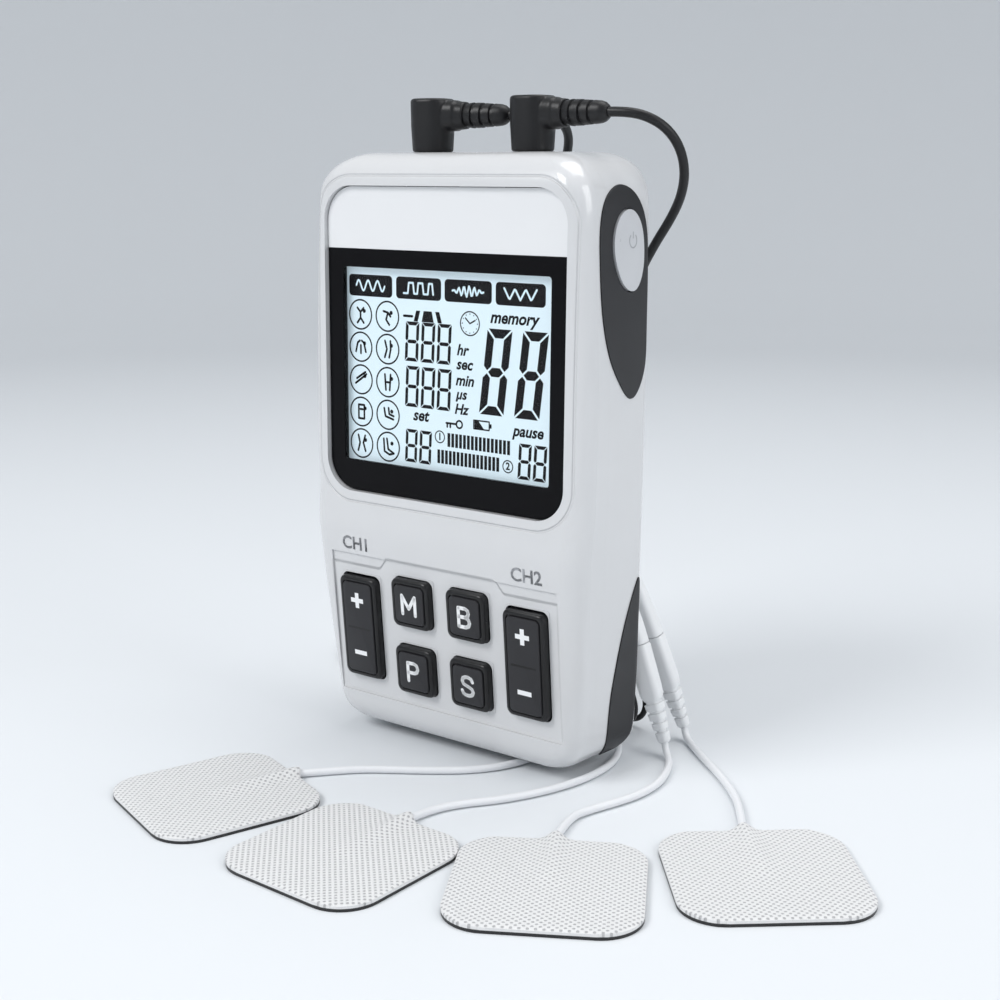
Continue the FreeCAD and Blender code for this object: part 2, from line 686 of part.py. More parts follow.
for key, column in ROCKERS.items():
    body = doc.addObject("PartDesign::Body", key)
    cap = pad_out(
        body,
        rectangle(body, key + "_cap", "dims.rocker_wide", "dims.rocker_tall", "dims.rocker_back"),
        "dims.rocker_back + dims.key_proud",
    )
    round_cap(body, cap, "dims.key_corner", "dims.key_edge")
    pad_out(
        body,
        rectangle(body, key + "_boss", "dims.rocker_wide", "dims.boss_tall", "dims.boss_back"),
        "dims.boss_back - dims.rocker_back + 0.5",
    )
    for way in (-1, 1):
        stem_end = stem_room.format(face=keypad_y(f"(dims.rocker_z + {way} * dims.plunger_z)"))
        pad_out(
            body,
            disc(body, f"{key}_plunger_{way + 2}", "dims.plunger_radius", stem_end,
                 f"{way} * dims.plunger_z"),
            f"{stem_end} - dims.rocker_back + 0.5",
        )
    bore = body.newObject("Sketcher::SketchObject", key + "_bore")
    side_plane = [f for f in body.Origin.OriginFeatures if f.Role == "YZ_Plane"][0]
    bore.AttachmentSupport = [(side_plane, "")]
    bore.MapMode = "FlatFace"
    bind(bore, AttachmentOffset__Base__x="dims.pin_y")
    bore.addGeometry(Part.Circle(V(), Z_AXIS, 0.7), False)
    bore.addConstraint(Sketcher.Constraint("Coincident", 0, 3, -1, 1))
    at = bore.addConstraint(Sketcher.Constraint("Radius", 0, 0.7))
    bore.setExpression(f"Constraints[{at}]", "dims.pin_radius + dims.pin_gap")
    doc.recompute()
    drilled = body.newObject("PartDesign::Pocket", key + "_drilled")
    drilled.Profile = bore
    drilled.Type = "ThroughAll"
    drilled.Midplane = True
    doc.recompute()
    on_keypad(body, key, column, "dims.rocker_z")

# The frame behind the keypad: a plate that the key stems run through, with two ears for
# each rocker's hinge pin.
frame_middle = "dims.rocker_z"
plate = block(
    "frame_plate", "2 * dims.frame_half", "dims.frame_thick",
    "dims.frame_high - dims.frame_low", "-dims.frame_half", "dims.frame_y",
    "dims.frame_low",
)
ears, ear_bores, stem_holes, pins = [], [], [], []
for key, column in ROCKERS.items():
    for side in (-1, 1):
        ears.append(block(
            f"{key}_ear_{side + 2}", "dims.ear_thick", "dims.frame_y - dims.ear_y",
            "2 * dims.ear_half",
            f"{column} + {side} * (dims.ear_in + dims.ear_thick / 2) - dims.ear_thick / 2",
            "dims.ear_y", "-dims.ear_half",
        ))
    ear_bores.append(rod(
        key + "_pin_bore", "dims.pin_radius", "dims.pin_long + 4",
        f"{column} - dims.pin_long / 2 - 2", "dims.pin_y", "0", X_AXIS,
    ))
    pins.append(rod(
        key + "_pin", "dims.pin_radius - 0.01", "dims.pin_long",
        f"{column} - dims.pin_long / 2", "dims.pin_y", "0", X_AXIS,
    ))
    for way in (-1, 1):
        stem_holes.append(rod(
            f"{key}_stem_hole_{way + 2}", "dims.plunger_radius + 0.9", "6", column,
            "dims.frame_y - 2", f"{way} * dims.plunger_z", Y_AXIS,
        ))
for key, (column, row_z) in KEYS.items():
    stem_holes.append(rod(
        key + "_stem_hole", "dims.stem_radius + 0.4", "6", column, "dims.frame_y - 2",
        f"({row_z} - dims.rocker_z) / cos({LEAN})", Y_AXIS,
    ))
frame_solid = cut(
    "frame_solid", fuse("frame_blank", [plate] + ears), fuse("frame_holes", ear_bores + stem_holes)
)
for name, things in (("key_frame", [frame_solid]), ("rocker_pins", pins)):
    thing = doc.addObject("Part::Compound", name)
    thing.Links = things
    on_keypad(thing, name, "0", "dims.rocker_z")

# ---------------------------------------------------------------- power button and switch
button_form = housing_form(-size["button_proud"])
button_cap = outline(POWER_BUTTON, 0, size["button_in"], 46).common(button_form)
flange_from = size["button_in"] - size["button_flange"]
button_flange = outline(POWER_BUTTON, size["button_rim"], flange_from, size["button_in"])
node("power_button", [solid("button", button_cap.fuse(button_flange))])
node("power_switch", [block(
    "switch_body", "dims.switch_deep", "5", "6", "dims.switch_face - dims.switch_deep",
    "dims.switch_y - 2.5", "dims.switch_z - 3",
)])

# ---------------------------------------------------------------- output jacks and plugs
for channel, column in JACKS.items():
    case = block(
        f"jack_case_{channel}", "dims.jack_side", "dims.jack_side",
        "dims.top_z - dims.wall - 0.3 - dims.jack_low", f"{column} - dims.jack_side / 2",
        "dims.jack_y - dims.jack_side / 2", "dims.jack_low",
    )
    collar = rod(
        f"jack_collar_{channel}", "dims.collar_radius", "3", column, "dims.jack_y",
        "dims.top_z - 3",
    )
    bore = rod(
        f"jack_bore_{channel}", "dims.jack_bore", "20", column, "dims.jack_y",
        "dims.jack_low + 3",
    )
    jack = cut(f"jack_{channel}", fuse(f"jack_blank_{channel}", [case, collar]), bore)
    node(f"output_jack_{channel}", [jack])

plug_tips = []
for channel, column in JACKS.items():
    stem = rod(
        f"plug_stem_{channel}", "dims.plug_radius", "dims.plug_high - dims.plug_low", "0",
        "0", "dims.plug_low",
    )
    arm = rod(
        f"plug_arm_{channel}", "dims.arm_radius", "dims.arm_long", "0", "0", "dims.arm_z",
        X_AXIS,
    )
    boot = doc.addObject("Part::Cone", f"plug_boot_{channel}")
    boot.Placement = FreeCAD.Placement(V(), FreeCAD.Rotation(Z_AXIS, X_AXIS))
    bind(boot, Radius1="dims.boot_radius", Radius2="dims.boot_tip",
         Height="dims.boot_long - dims.arm_long")
    put(boot, "dims.arm_long", "0", "dims.arm_z")
    plug = fuse(f"plug_body_{channel}", [stem, arm, boot])
    bind(plug, Placement__Base__x=column, Placement__Base__y="dims.jack_y")
    plug.Placement.Rotation = FreeCAD.Rotation(Z_AXIS, 1)
    yaw = "dims.left_yaw" if channel == "ch1" else "0"
    bind(plug, Placement__Rotation__Angle=yaw)
    node(f"plug_{channel}", [plug])
    plug_tips.append(rod(
        f"plug_tip_{channel}", "dims.tip_radius", "dims.tip_long", column, "dims.jack_y",
        "dims.plug_low - dims.tip_long",
    ))
node("plug_tips", plug_tips)

# ---------------------------------------------------------------- battery bay
tray_outer = block(
    "tray_outer", "2 * dims.tray_half", "dims.tray_back - dims.tray_front",
    "dims.tray_high - dims.tray_low", "-dims.tray_half", "dims.tray_front",
    "dims.tray_low",
)
tray_inner = block(
    "tray_inner", "2 * (dims.tray_half - dims.tray_wall)",
    "dims.tray_back - dims.tray_front", "dims.tray_high - dims.tray_low - 2 * dims.tray_wall",
    "-dims.tray_half + dims.tray_wall", "dims.tray_front + dims.tray_wall",
    "dims.tray_low + dims.tray_wall",
)
node("battery_tray", [cut("tray", tray_outer, tray_inner)])
cells, springs, plates = [], [], []
for number in range(4):
    at_x = f"({number} - 1.5) * dims.cell_pitch"
    can = rod(
        f"cell_can_{number}", "dims.cell_radius", "dims.cell_long - 1", at_x, "dims.cell_y",
        "dims.cell_low",
    )
    nub = rod(
        f"cell_nub_{number}", "1.9", "1", at_x, "dims.cell_y",
        "dims.cell_low + dims.cell_long - 1",
    )
    cells.append(fuse(f"cell_{number}", [can, nub]))
    springs.append(doc.addObject("Part::Cone", f"spring_{number}"))
    bind(springs[-1], Radius1="dims.spring_radius", Radius2="dims.nub_radius",
         Height="dims.cell_low - dims.tray_low - dims.tray_wall - 0.5")
    put(springs[-1], at_x, "dims.cell_y", "dims.tray_low + dims.tray_wall + 0.4")
    plates.append(block(
        f"spring_plate_{number}", "9", "9", "0.4", f"{at_x} - 4.5", "dims.cell_y - 4.5",
        "dims.tray_low + dims.tray_wall",
    ))
    plates.append(block(
        f"nub_plate_{number}", "9", "9", "0.4", f"{at_x} - 4.5", "dims.cell_y - 4.5",
        "dims.tray_high - dims.tray_wall - 0.4",
    ))
node("battery_cells", cells)
node("battery_springs", springs)
node("battery_contacts", plates)
door = block(
    "door_plate", "2 * dims.door_half", "dims.door_thick", "dims.door_high - dims.door_low",
    "-dims.door_half", "dims.back_y - dims.door_thick", "dims.door_low",
)
ridges = [
    block(f"door_ridge_{i}", "14", "0.5", "1", "-7", "dims.back_y - 0.1",
          f"dims.door_high - 6 - {i} * 2.2")
    for i in range(4)
]
node("battery_door", [fuse("door", [door] + ridges)])

# ---------------------------------------------------------------- electrode pads
# Each pad is a square of cloth with a black conductive gel underneath, and a raised sleeve
# where its wire is bonded in. x, y and turn in degrees.
PADS = {
    "1": (-27.4, -50.2, -19.3),
    "2": (16.6, -55.2, -1.9),
    "3": (59.5, -41.2, 29.4),
    "4": (92.8, -11.2, 39.2),
}


def pad_square(name, thick, z):
    """A rounded square centred on its own origin."""
    blank = block(name + "_blank", "dims.pad_side", "dims.pad_side", thick,
                  "-dims.pad_side / 2", "-dims.pad_side / 2", z)
    doc.recompute()
    radius = size["pad_corner"]
    upright = [
        (number, radius, radius)
        for number, edge in enumerate(blank.Shape.Edges, 1)
        if abs(edge.tangentAt(edge.FirstParameter).z) > 0.9
    ]
    thing = doc.addObject("Part::Fillet", name)
    thing.Base, thing.Edges = blank, upright
    return thing


gels = []
for number, (x, y, turn) in PADS.items():
    cloth = pad_square(f"cloth_{number}", "dims.cloth_thick", "dims.gel_thick")
    sleeve = rod(
        f"sleeve_{number}", "dims.sleeve_radius", "dims.sleeve_in + dims.sleeve_out", "0",
        "dims.pad_side / 2 + dims.sleeve_out", "dims.sleeve_radius", -Y_AXIS,
    )
    above = block(
        f"above_gel_{number}", "10", "dims.sleeve_in", "5", "-5",
        "dims.pad_side / 2 - dims.sleeve_in", "dims.gel_thick",
    )
    outside = block(
        f"outside_pad_{number}", "10", "5", "5", "-5", "dims.pad_side / 2", "0",
    )
    kept = common(f"sleeve_kept_{number}", sleeve, fuse(f"sleeve_room_{number}", [above, outside]))
    top = fuse(f"pad_cloth_{number}", [cloth, kept])
    gel = pad_square(f"gel_{number}", "dims.gel_thick", "0")
    for thing in (top, gel):
        thing.Placement = FreeCAD.Placement(V(x, y, 0), FreeCAD.Rotation(Z_AXIS, turn))
    node(f"pad_{number}", [top])
    gels.append(gel)
node("gel_layers", gels)


def pad_exit(number):
    """Where a pad's wire leaves its sleeve, and the way it points."""
    x, y, turn = PADS[number]
    reach = size["pad_side"] / 2 + size["sleeve_out"]
    way = V(-math.sin(math.radians(turn)), math.cos(math.radians(turn)), 0)
    return V(x, y, size["pigtail_wide"] / 2 + 0.12) + way * reach


# ---------------------------------------------------------------- leads and wires
def cord_tube(name, points, wide):
    """A round cord along straight runs joined by tangent arcs. Prints its tightest turn."""
    points = [V(*p) for p in points]
    edges, start, radii = [], points[0], []
    for before, corner, after in zip(points, points[1:], points[2:]):
        come, go = corner - before, after - corner
        turn = come.getAngle(go)
        run = min(come.Length, go.Length)
        trim = 0.45 * run
        radii.append(trim / math.tan(turn / 2))
        come.normalize()
        go.normalize()
        first, last = corner - come * trim, corner + go * trim
        chord = (first + last) * 0.5
        inward = chord - corner
        inward.normalize()
        radius = radii[-1]
        sagitta = radius / math.cos(turn / 2) - radius
        edges.append(Part.LineSegment(start, first).toShape())
        edges.append(Part.Arc(first, corner + inward * sagitta, last).toShape())
        start = last
    edges.append(Part.LineSegment(start, points[-1]).toShape())
    path = Part.Wire(edges)
    ring = Part.Wire([Part.makeCircle(wide / 2, points[0], points[1] - points[0])])
    tube = path.makePipeShell([ring], True, False)
    expected = math.pi * wide**2 / 4 * path.Length
    print(f"{name}: {path.Length:.1f} mm, tightest turn {min(radii):.1f} mm,"
          f" volume {tube.Volume / expected:.3f} of its section times its length")
    return tube


plug_yaw = math.radians(size["left_yaw"])
left_boot = (
    -size["jack_column"] + size["boot_long"] * math.cos(plug_yaw),
    size["jack_y"] + size["boot_long"] * math.sin(plug_yaw), size["arm_z"],
)
right_boot = (size["jack_column"] + size["boot_long"], size["jack_y"], size["arm_z"])
COIL_LEFT, COIL_RIGHT = (-42.0, 65.0), (-6.0, 66.0)
coil_entry_z = size["coil_foot"] + size["lead_wide"] / 2
mean = size["coil_mean"]
# A cord that comes in along the middle of the turns meets the coil's rim this far before.
rim_reach = math.sqrt((mean + size["coil_band"]) ** 2 - mean**2) + 0.1

LEAD_LEFT = [
    left_boot, (8.6, 20.3, 154.6), (11.7, 22.3, 154.6), (13.8, 25.4, 154.0),
    (14.5, 29.0, 152.4), (13.6, 32.4, 149.6), (11.4, 34.9, 145.4), (8.2, 36.2, 139.8),
    (4.6, 36.4, 133.0),
    (0.4, 36.0, 125.4), (-3.2, 36.3, 114.8), (-6.8, 36.6, 103.2), (-10.2, 36.7, 90.8),
    (-13.6, 37.2, 77.8), (-16.8, 37.6, 64.6), (-19.6, 38.4, 51.6), (-22.0, 39.9, 39.4),
    (-24.2, 42.2, 28.2), (-26.3, 45.0, 18.4), (-28.0, 48.2, 10.0), (-29.3, 51.5, 4.6),
    (COIL_LEFT[0] + mean, COIL_LEFT[1] - rim_reach, coil_entry_z + 0.6),
]
LEAD_RIGHT = [
    right_boot, (39.2, 16.6, 154.5), (43.4, 18.6, 153.5), (46.6, 21.6, 151.0),
    (48.2, 24.9, 146.8), (47.8, 28.0, 141.6), (45.4, 30.8, 136.2), (41.6, 32.8, 131.0),
    (37.0, 34.0, 125.4), (32.4, 34.8, 118.4), (28.0, 35.3, 109.6), (23.6, 35.8, 99.2),
    (19.0, 36.0, 87.8), (14.4, 36.4, 76.0), (9.8, 36.7, 64.0), (5.2, 37.4, 52.4),
    (0.5, 38.6, 41.6), (-4.4, 40.6, 31.6), (-9.2, 43.2, 22.6), (-13.3, 46.2, 14.4),
    (-16.2, 49.5, 7.6), (-17.7, 52.8, 3.6),
    (COIL_RIGHT[0] - mean, COIL_RIGHT[1] - rim_reach, coil_entry_z + 0.5),
]
TAIL_LEFT = [
    (COIL_LEFT[0] - rim_reach, COIL_LEFT[1] + mean, coil_entry_z),
    (-55.2, 77.0, 1.5), (-58.2, 76.3, 1.5), (-61.0, 75.2, 1.5),
]
TAIL_RIGHT = [
    (COIL_RIGHT[0] + mean, COIL_RIGHT[1] - rim_reach, coil_entry_z),
    (6.4, 52.5, 1.5), (8.2, 49.5, 1.5), (11.1, 47.6, 1.5), (14.6, 47.1, 1.5),
]
node("lead_ch1", [
    solid("lead_left", cord_tube("lead_ch1", LEAD_LEFT, size["lead_wide"])),
    solid("tail_left", cord_tube("lead_ch1 tail", TAIL_LEFT, size["lead_wide"])),
])
node("lead_ch2", [
    solid("lead_right", cord_tube("lead_ch2", LEAD_RIGHT, size["lead_wide"])),
    solid("tail_right", cord_tube("lead_ch2 tail", TAIL_RIGHT, size["lead_wide"])),
])

ties = []
for channel, (x, y), tie_turn in (("ch1", COIL_LEFT, 205), ("ch2", COIL_RIGHT, 75)):
    outer = rod(f"coil_outer_{channel}", "dims.coil_mean + dims.coil_band",
                "dims.coil_high - dims.coil_foot", str(x), str(y), "dims.coil_foot")
    hole = rod(f"coil_hole_{channel}", "dims.coil_mean - dims.coil_band", "20", str(x),
               str(y), "-5")
    ring = cut(f"coil_ring_{channel}", outer, hole)
    node(f"coil_{channel}", [ring])
    band = block(f"tie_band_{channel}", "2 * dims.coil_band + 2 * dims.tie_thick + 0.1",
                 "dims.tie_wide", "dims.coil_high + dims.tie_thick",
                 "dims.coil_mean - dims.coil_band - dims.tie_thick - 0.05",
                 "-dims.tie_wide / 2", "0.02")
    ring_hole = rod(f"tie_inner_{channel}", "dims.coil_mean + dims.coil_band + 0.02",
                    "dims.coil_high - dims.coil_foot + 0.04", "0", "0",
                    "dims.coil_foot - 0.02")
    middle = rod(f"tie_middle_{channel}", "dims.coil_mean - dims.coil_band - 0.02", "20",
                 "0", "0", "-5")
    tie = cut(f"tie_{channel}", band, cut(f"tie_room_{channel}", ring_hole, middle))
    tie.Placement = FreeCAD.Placement(V(x, y, 0), FreeCAD.Rotation(Z_AXIS, tie_turn))
    ties.append(tie)
node("coil_ties", ties)

# The splitter at the end of each lead: a flat moulded block, lying on the table.
SPLIT = {
    "ch1": (V(*TAIL_LEFT[-1]), V(-0.93, -0.38, 0)),
    "ch2": (V(*TAIL_RIGHT[-1]), V(0.97, -0.2, 0)),
}
splitters, fork = [], {}
for channel, (start, way) in SPLIT.items():
    way.normalize()
    across = V(-way.y, way.x, 0)
    thing = block(f"split_block_{channel}", "dims.split_long", "dims.split_wide",
                  "dims.split_high", "0", "-dims.split_wide / 2", "0")
    doc.recompute()
    ends = [
        (number, 1.2, 1.2) for number, edge in enumerate(thing.Shape.Edges, 1)
        if abs(edge.tangentAt(edge.FirstParameter).z) > 0.9
    ]
    rounded = doc.addObject("Part::Fillet", f"split_{channel}")
    rounded.Base, rounded.Edges = thing, ends
    angle = math.degrees(math.atan2(way.y, way.x))
    rounded.Placement = FreeCAD.Placement(
        V(start.x, start.y, 0), FreeCAD.Rotation(Z_AXIS, angle)
    )
    splitters.append(rounded)
    end = V(start.x, start.y, 1.5) + way * size["split_long"]
    fork[channel] = (end + across * 1.6, end - across * 1.6)
node("lead_splitters", splitters)

# The four pin-and-socket connectors. Each runs from its wire end (low, white wire) to its
# pin end (branch of the black lead). Two lie behind the unit and two lean beside it.
connector_long = size["relief_long"] + size["socket_long"] + size["plug_body_long"]


def along(start, toward):
    way = V(*toward) - V(*start)
    way.normalize()
    return V(*start), way


CONNECTORS = {
    "1": along((-2.0, 35.3, 2.9), (-40.0, 35.3, 2.9)),
    "2": along((2.0, 42.6, 2.9), (-40.0, 42.6, 2.9)),
    "3": along((42.9, 33.8, 3.6), (28.2, 34.2, 45.1)),
    "4": along((41.3, 46.2, 3.6), (28.1, 39.6, 45.0)),
}


def tapered(name, start, way, long, wide_from, thick_from, wide_to, thick_to, corner):
    """A rounded-rectangle bar that tapers from one end to the other."""
    side = way.cross(Z_AXIS)
    side.normalize()
    up = side.cross(way)
    wires = []
    for at, wide, thick in ((0, wide_from, thick_from), (long, wide_to, thick_to)):
        centre = start + way * at
        a, b = wide / 2, thick / 2
        r = min(corner, a * 0.98, b * 0.98)
        half = r * (1 - math.sqrt(0.5))
        spots = [
            ((a, -b + r), (a, b - r)), ((a - r, b), (-a + r, b)),
            ((-a, b - r), (-a, -b + r)), ((-a + r, -b), (a - r, -b)),
        ]
        mids = [(a - half, b - half), (-a + half, b - half), (-a + half, -b + half),
                (a - half, -b + half)]
        edges = []
        for i in range(4):
            p, q = [centre + side * s + up * t for s, t in spots[i]]
            n = centre + side * spots[(i + 1) % 4][0][0] + up * spots[(i + 1) % 4][0][1]
            m = centre + side * mids[i][0] + up * mids[i][1]
            edges += [Part.LineSegment(p, q).toShape(), Part.Arc(q, m, n).toShape()]
        wires.append(Part.Wire(edges))
    return Part.makeLoft(wires, True, True)


bodies, sockets, pins_out = [], [], []
relief, socket_long = size["relief_long"], size["socket_long"]
thick, wide = size["body_thick"], size["socket_wide"]
for number, (start, way) in CONNECTORS.items():
    joint_at = start + way * (relief + socket_long)
    socket = tapered(f"relief_{number}", start, way, relief, size["relief_wide"],
                     size["relief_wide"], wide * 0.8, thick * 0.8, 1.2)
    socket = socket.fuse(tapered(f"socket_{number}", start + way * relief, way, socket_long,
                                 wide, thick, wide, thick, 1.4))
    hole = Part.makeCylinder(size["pin_wide"] / 2, size["pin_out"] + 0.5,
                             joint_at - way * (size["pin_out"] + 0.5), way)
    sockets.append(solid(f"wire_socket_{number}", socket.cut(hole)))
    housing = tapered(f"housing_{number}", joint_at + way * 0.05, way,
                      size["plug_body_long"] - 0.05, size["plug_body_wide"], thick,
                      size["relief_wide"], size["relief_wide"], 1.4)
    bodies.append(solid(f"pin_housing_{number}", housing))
    pins_out.append(solid(f"contact_pin_{number}", Part.makeCylinder(
        size["pin_wide"] / 2 - 0.02, size["pin_out"] + 0.05, joint_at + way * 0.05, -way
    )))
node("wire_sockets", sockets)
node("pin_housings", bodies)
node("contact_pins", pins_out)

# The black branches from splitter to pin housing.
pin_end = {n: start + way * connector_long for n, (start, way) in CONNECTORS.items()}
BRANCHES = {
    "1": [fork["ch1"][1], (-73.6, 71.8, 1.1), (-77.2, 68.2, 0.95), (-79.6, 62.8, 0.95),
          (-80.0, 56.2, 0.95), (-78.2, 49.8, 0.95), (-74.2, 44.0, 0.95),
          (-68.4, 39.6, 0.95), (-61.6, 36.8, 1.2), (-54.0, 35.6, 2.0), pin_end["1"]],
    "2": [fork["ch1"][0], (-72.0, 68.6, 1.1), (-74.6, 65.0, 0.95), (-75.8, 60.2, 0.95),
          (-75.2, 54.8, 0.95), (-72.6, 49.8, 0.95), (-68.0, 46.0, 0.95),
          (-62.0, 43.6, 0.95), (-55.4, 42.7, 1.3), (-48.6, 42.5, 2.1), pin_end["2"]],
    "3": [fork["ch2"][1], (26.6, 43.1, 2.1), (29.1, 42.0, 4.4), (30.2, 40.7, 8.0),
          (29.6, 39.4, 12.4), (27.4, 38.2, 18.0), (24.3, 37.2, 24.8), (20.5, 36.5, 32.2),
          (17.0, 36.0, 39.0), (15.2, 35.7, 43.6), (15.1, 35.4, 46.7), (16.5, 35.2, 49.3),
          (18.9, 34.9, 51.1), (21.9, 34.7, 51.5), (24.8, 34.5, 50.6), (27.0, 34.3, 48.5),
          pin_end["3"]],
    "4": [fork["ch2"][0], (27.2, 46.4, 2.1), (29.7, 45.7, 4.4), (30.8, 44.8, 8.0),
          (30.2, 43.9, 12.4), (28.0, 43.0, 18.0), (24.9, 42.3, 24.8), (21.0, 41.8, 32.2),
          (17.3, 41.4, 39.0), (15.4, 41.1, 43.6), (15.2, 40.9, 46.7), (16.6, 40.6, 49.3),
          (19.0, 40.4, 51.1), (22.0, 40.2, 51.4), (24.8, 40.0, 50.5), (27.0, 39.8, 48.4),
          pin_end["4"]],
}
for number, points in BRANCHES.items():
    tube = cord_tube(f"branch_{number}", points, size["branch_wide"])
    node(f"branch_{number}", [solid(f"branch_tube_{number}", tube)])

# The white wires from connector to pad.
wire_end = {n: start for n, (start, way) in CONNECTORS.items()}
flat = size["pigtail_wide"] / 2 + 0.12
PIGTAILS = {
    "1": [pad_exit("1"), (-15.0, -24.0, flat), (-9.8, -18.6, flat), (-2.6, -14.0, flat),
          (4.6, -9.2, flat), (11.2, -4.0, flat), (16.0, 2.4, flat), (18.8, 10.0, flat),
          (18.6, 18.2, flat), (15.8, 25.6, flat), (11.2, 31.0, 1.1), (5.0, 34.4, 1.9),
          wire_end["1"]],
    "2": [pad_exit("2"), (18.0, -27.6, flat), (21.4, -20.8, flat), (26.8, -14.4, flat),
          (31.2, -7.0, flat), (34.6, 1.2, flat), (36.6, 10.0, flat), (36.6, 19.0, flat),
          (33.8, 27.6, flat), (28.4, 34.6, flat), (21.2, 39.2, flat), (13.2, 41.6, 1.4),
          (7.4, 42.4, 2.3), wire_end["2"]],
    "3": [wire_end["3"], (43.7, 33.0, 1.9), (45.6, 31.0, flat), (47.8, 27.8, flat),
          (50.0, 22.6, flat), (51.8, 15.8, flat), (51.6, 7.8, flat), (49.4, 0.4, flat),
          (46.8, -6.4, flat), (45.4, -12.6, flat), pad_exit("3")],
    "4": [wire_end["4"], (42.2, 45.4, 1.9), (44.2, 43.6, flat), (47.6, 40.4, flat),
          (53.2, 35.4, flat), (60.4, 29.4, flat), (67.2, 22.8, flat),
          (73.4, 15.4, flat), pad_exit("4")],
}
for number, points in PIGTAILS.items():
    tube = cord_tube(f"pigtail_{number}", points, size["pigtail_wide"])
    node(f"pigtail_{number}", [solid(f"pigtail_tube_{number}", tube)])

# ---------------------------------------------------------------- check and write
doc.recompute()
for thing in doc.Objects:
    if "Invalid" in thing.State or "Error" in thing.State:
        raise RuntimeError(f"{thing.Name} failed: {thing.State}")
for thing in nodes:
    if thing.Shape.isNull() or not thing.Shape.isValid():
        raise RuntimeError(f"{thing.Label} has no valid shape")
    if not thing.Shape.Solids:
        raise RuntimeError(f"{thing.Label} holds no solid")
os.makedirs("parts", exist_ok=True)
for thing in nodes:
    thing.Shape.exportStep(f"parts/{thing.Label}.step")
print(len(nodes), "sub-parts written")
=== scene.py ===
import bpy
import bmesh
import math
import random
from mathutils import Matrix, Vector


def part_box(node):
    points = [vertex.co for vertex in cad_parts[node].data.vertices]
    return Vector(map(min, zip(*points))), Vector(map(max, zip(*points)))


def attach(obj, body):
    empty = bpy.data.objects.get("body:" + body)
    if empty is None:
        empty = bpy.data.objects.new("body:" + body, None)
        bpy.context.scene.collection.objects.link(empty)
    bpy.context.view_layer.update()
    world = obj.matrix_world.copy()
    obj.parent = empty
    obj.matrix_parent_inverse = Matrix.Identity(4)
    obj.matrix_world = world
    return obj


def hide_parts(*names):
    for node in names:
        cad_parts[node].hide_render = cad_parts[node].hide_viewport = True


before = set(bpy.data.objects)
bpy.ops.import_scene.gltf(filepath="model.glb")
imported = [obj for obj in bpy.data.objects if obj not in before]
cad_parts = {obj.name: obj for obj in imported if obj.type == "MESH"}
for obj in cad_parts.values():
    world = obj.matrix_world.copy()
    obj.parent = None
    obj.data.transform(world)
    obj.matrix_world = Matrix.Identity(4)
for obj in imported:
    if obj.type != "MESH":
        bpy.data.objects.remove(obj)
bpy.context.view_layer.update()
MM = 0.001

# ------------------------------------------------------------------ where the unit stands
# The unit's own axis runs up midway between its two output jacks. Its zero depth is the
# face of the display window, and the table is at zero height.
JACK_BACK = 16 * MM
jacks = [corner for channel in "12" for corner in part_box(f"output_jack_ch{channel}")]
middle = sum(jacks, Vector()) / len(jacks)
unit = Vector((middle.x, middle.y - JACK_BACK, 0))


def at_unit(*spots):
    """Points given from the unit's own axis, in metres, as points of the frame."""
    return [unit + Vector(spot) for spot in spots]


# ------------------------------------------------------------------ camera
# A short telephoto lens a little above the unit's middle, off its right front corner.
CAMERA_AT, LOOK_DOWN, LOOK_ROUND = (0.218, -0.2718, 0.1425), 12.495, 36.465
FOCAL_MM = 54
camera = bpy.data.objects.new("camera", bpy.data.cameras.new("camera"))
bpy.context.scene.collection.objects.link(camera)
camera.location = unit + Vector(CAMERA_AT)
camera.rotation_euler = (math.radians(90 - LOOK_DOWN), 0, math.radians(LOOK_ROUND))
camera.data.lens = FOCAL_MM
camera.data.sensor_width = 36
camera.data.clip_start = 0.01
bpy.context.scene.camera = camera

# ------------------------------------------------------------------ table and studio light
# A pale round sweep: flat where the unit stands, rising all round far behind it. Three
# large soft lamps hang over it, the brightest at the upper left.
FLAT_REACH, SWEEP_REACH, SWEEP_HIGH = 0.9, 1.7, 1.2
SWEEP_STEPS = 12
LAMPS_AIM = 0.07
sweep_mesh = bpy.data.meshes.new("table_sweep")
sweep = bpy.data.objects.new("table_sweep", sweep_mesh)
bpy.context.scene.collection.objects.link(sweep)
sweep_form = bmesh.new()
profile = [(0.0, 0.0), (FLAT_REACH, 0.0)]
for step in range(1, SWEEP_STEPS + 1):
    turn = math.pi / 2 * step / SWEEP_STEPS
    profile.append((FLAT_REACH + (SWEEP_REACH - FLAT_REACH) * math.sin(turn),
                    SWEEP_HIGH * (1 - math.cos(turn))))
spine = [sweep_form.verts.new((reach, 0, high)) for reach, high in profile]
edges = [sweep_form.edges.new(pair) for pair in zip(spine, spine[1:])]
bmesh.ops.spin(sweep_form, geom=spine + edges, cent=(0, 0, 0), axis=(0, 0, 1),
               angle=math.tau, steps=96, use_merge=True)
bmesh.ops.remove_doubles(sweep_form, verts=sweep_form.verts, dist=1e-5)
bmesh.ops.recalc_face_normals(sweep_form, faces=sweep_form.faces)
sweep_form.to_mesh(sweep_mesh)
sweep_form.free()
for face in sweep_mesh.polygons:
    face.use_smooth = True
table_paint = bpy.data.materials.new("table_paint")
table_paint.use_nodes = True
shader = table_paint.node_tree.nodes["Principled BSDF"]
shader.inputs["Base Color"].default_value = (0.74, 0.765, 0.79, 1)
shader.inputs["Roughness"].default_value = 0.55
sweep_mesh.materials.append(table_paint)

world = bpy.data.worlds.new("studio")
world.use_nodes = True
world.node_tree.nodes["Background"].inputs["Color"].default_value = (0.93, 0.96, 1.0, 1)
world.node_tree.nodes["Background"].inputs["Strength"].default_value = 0.5
bpy.context.scene.world = world
bpy.context.scene.view_settings.view_transform = "Standard"


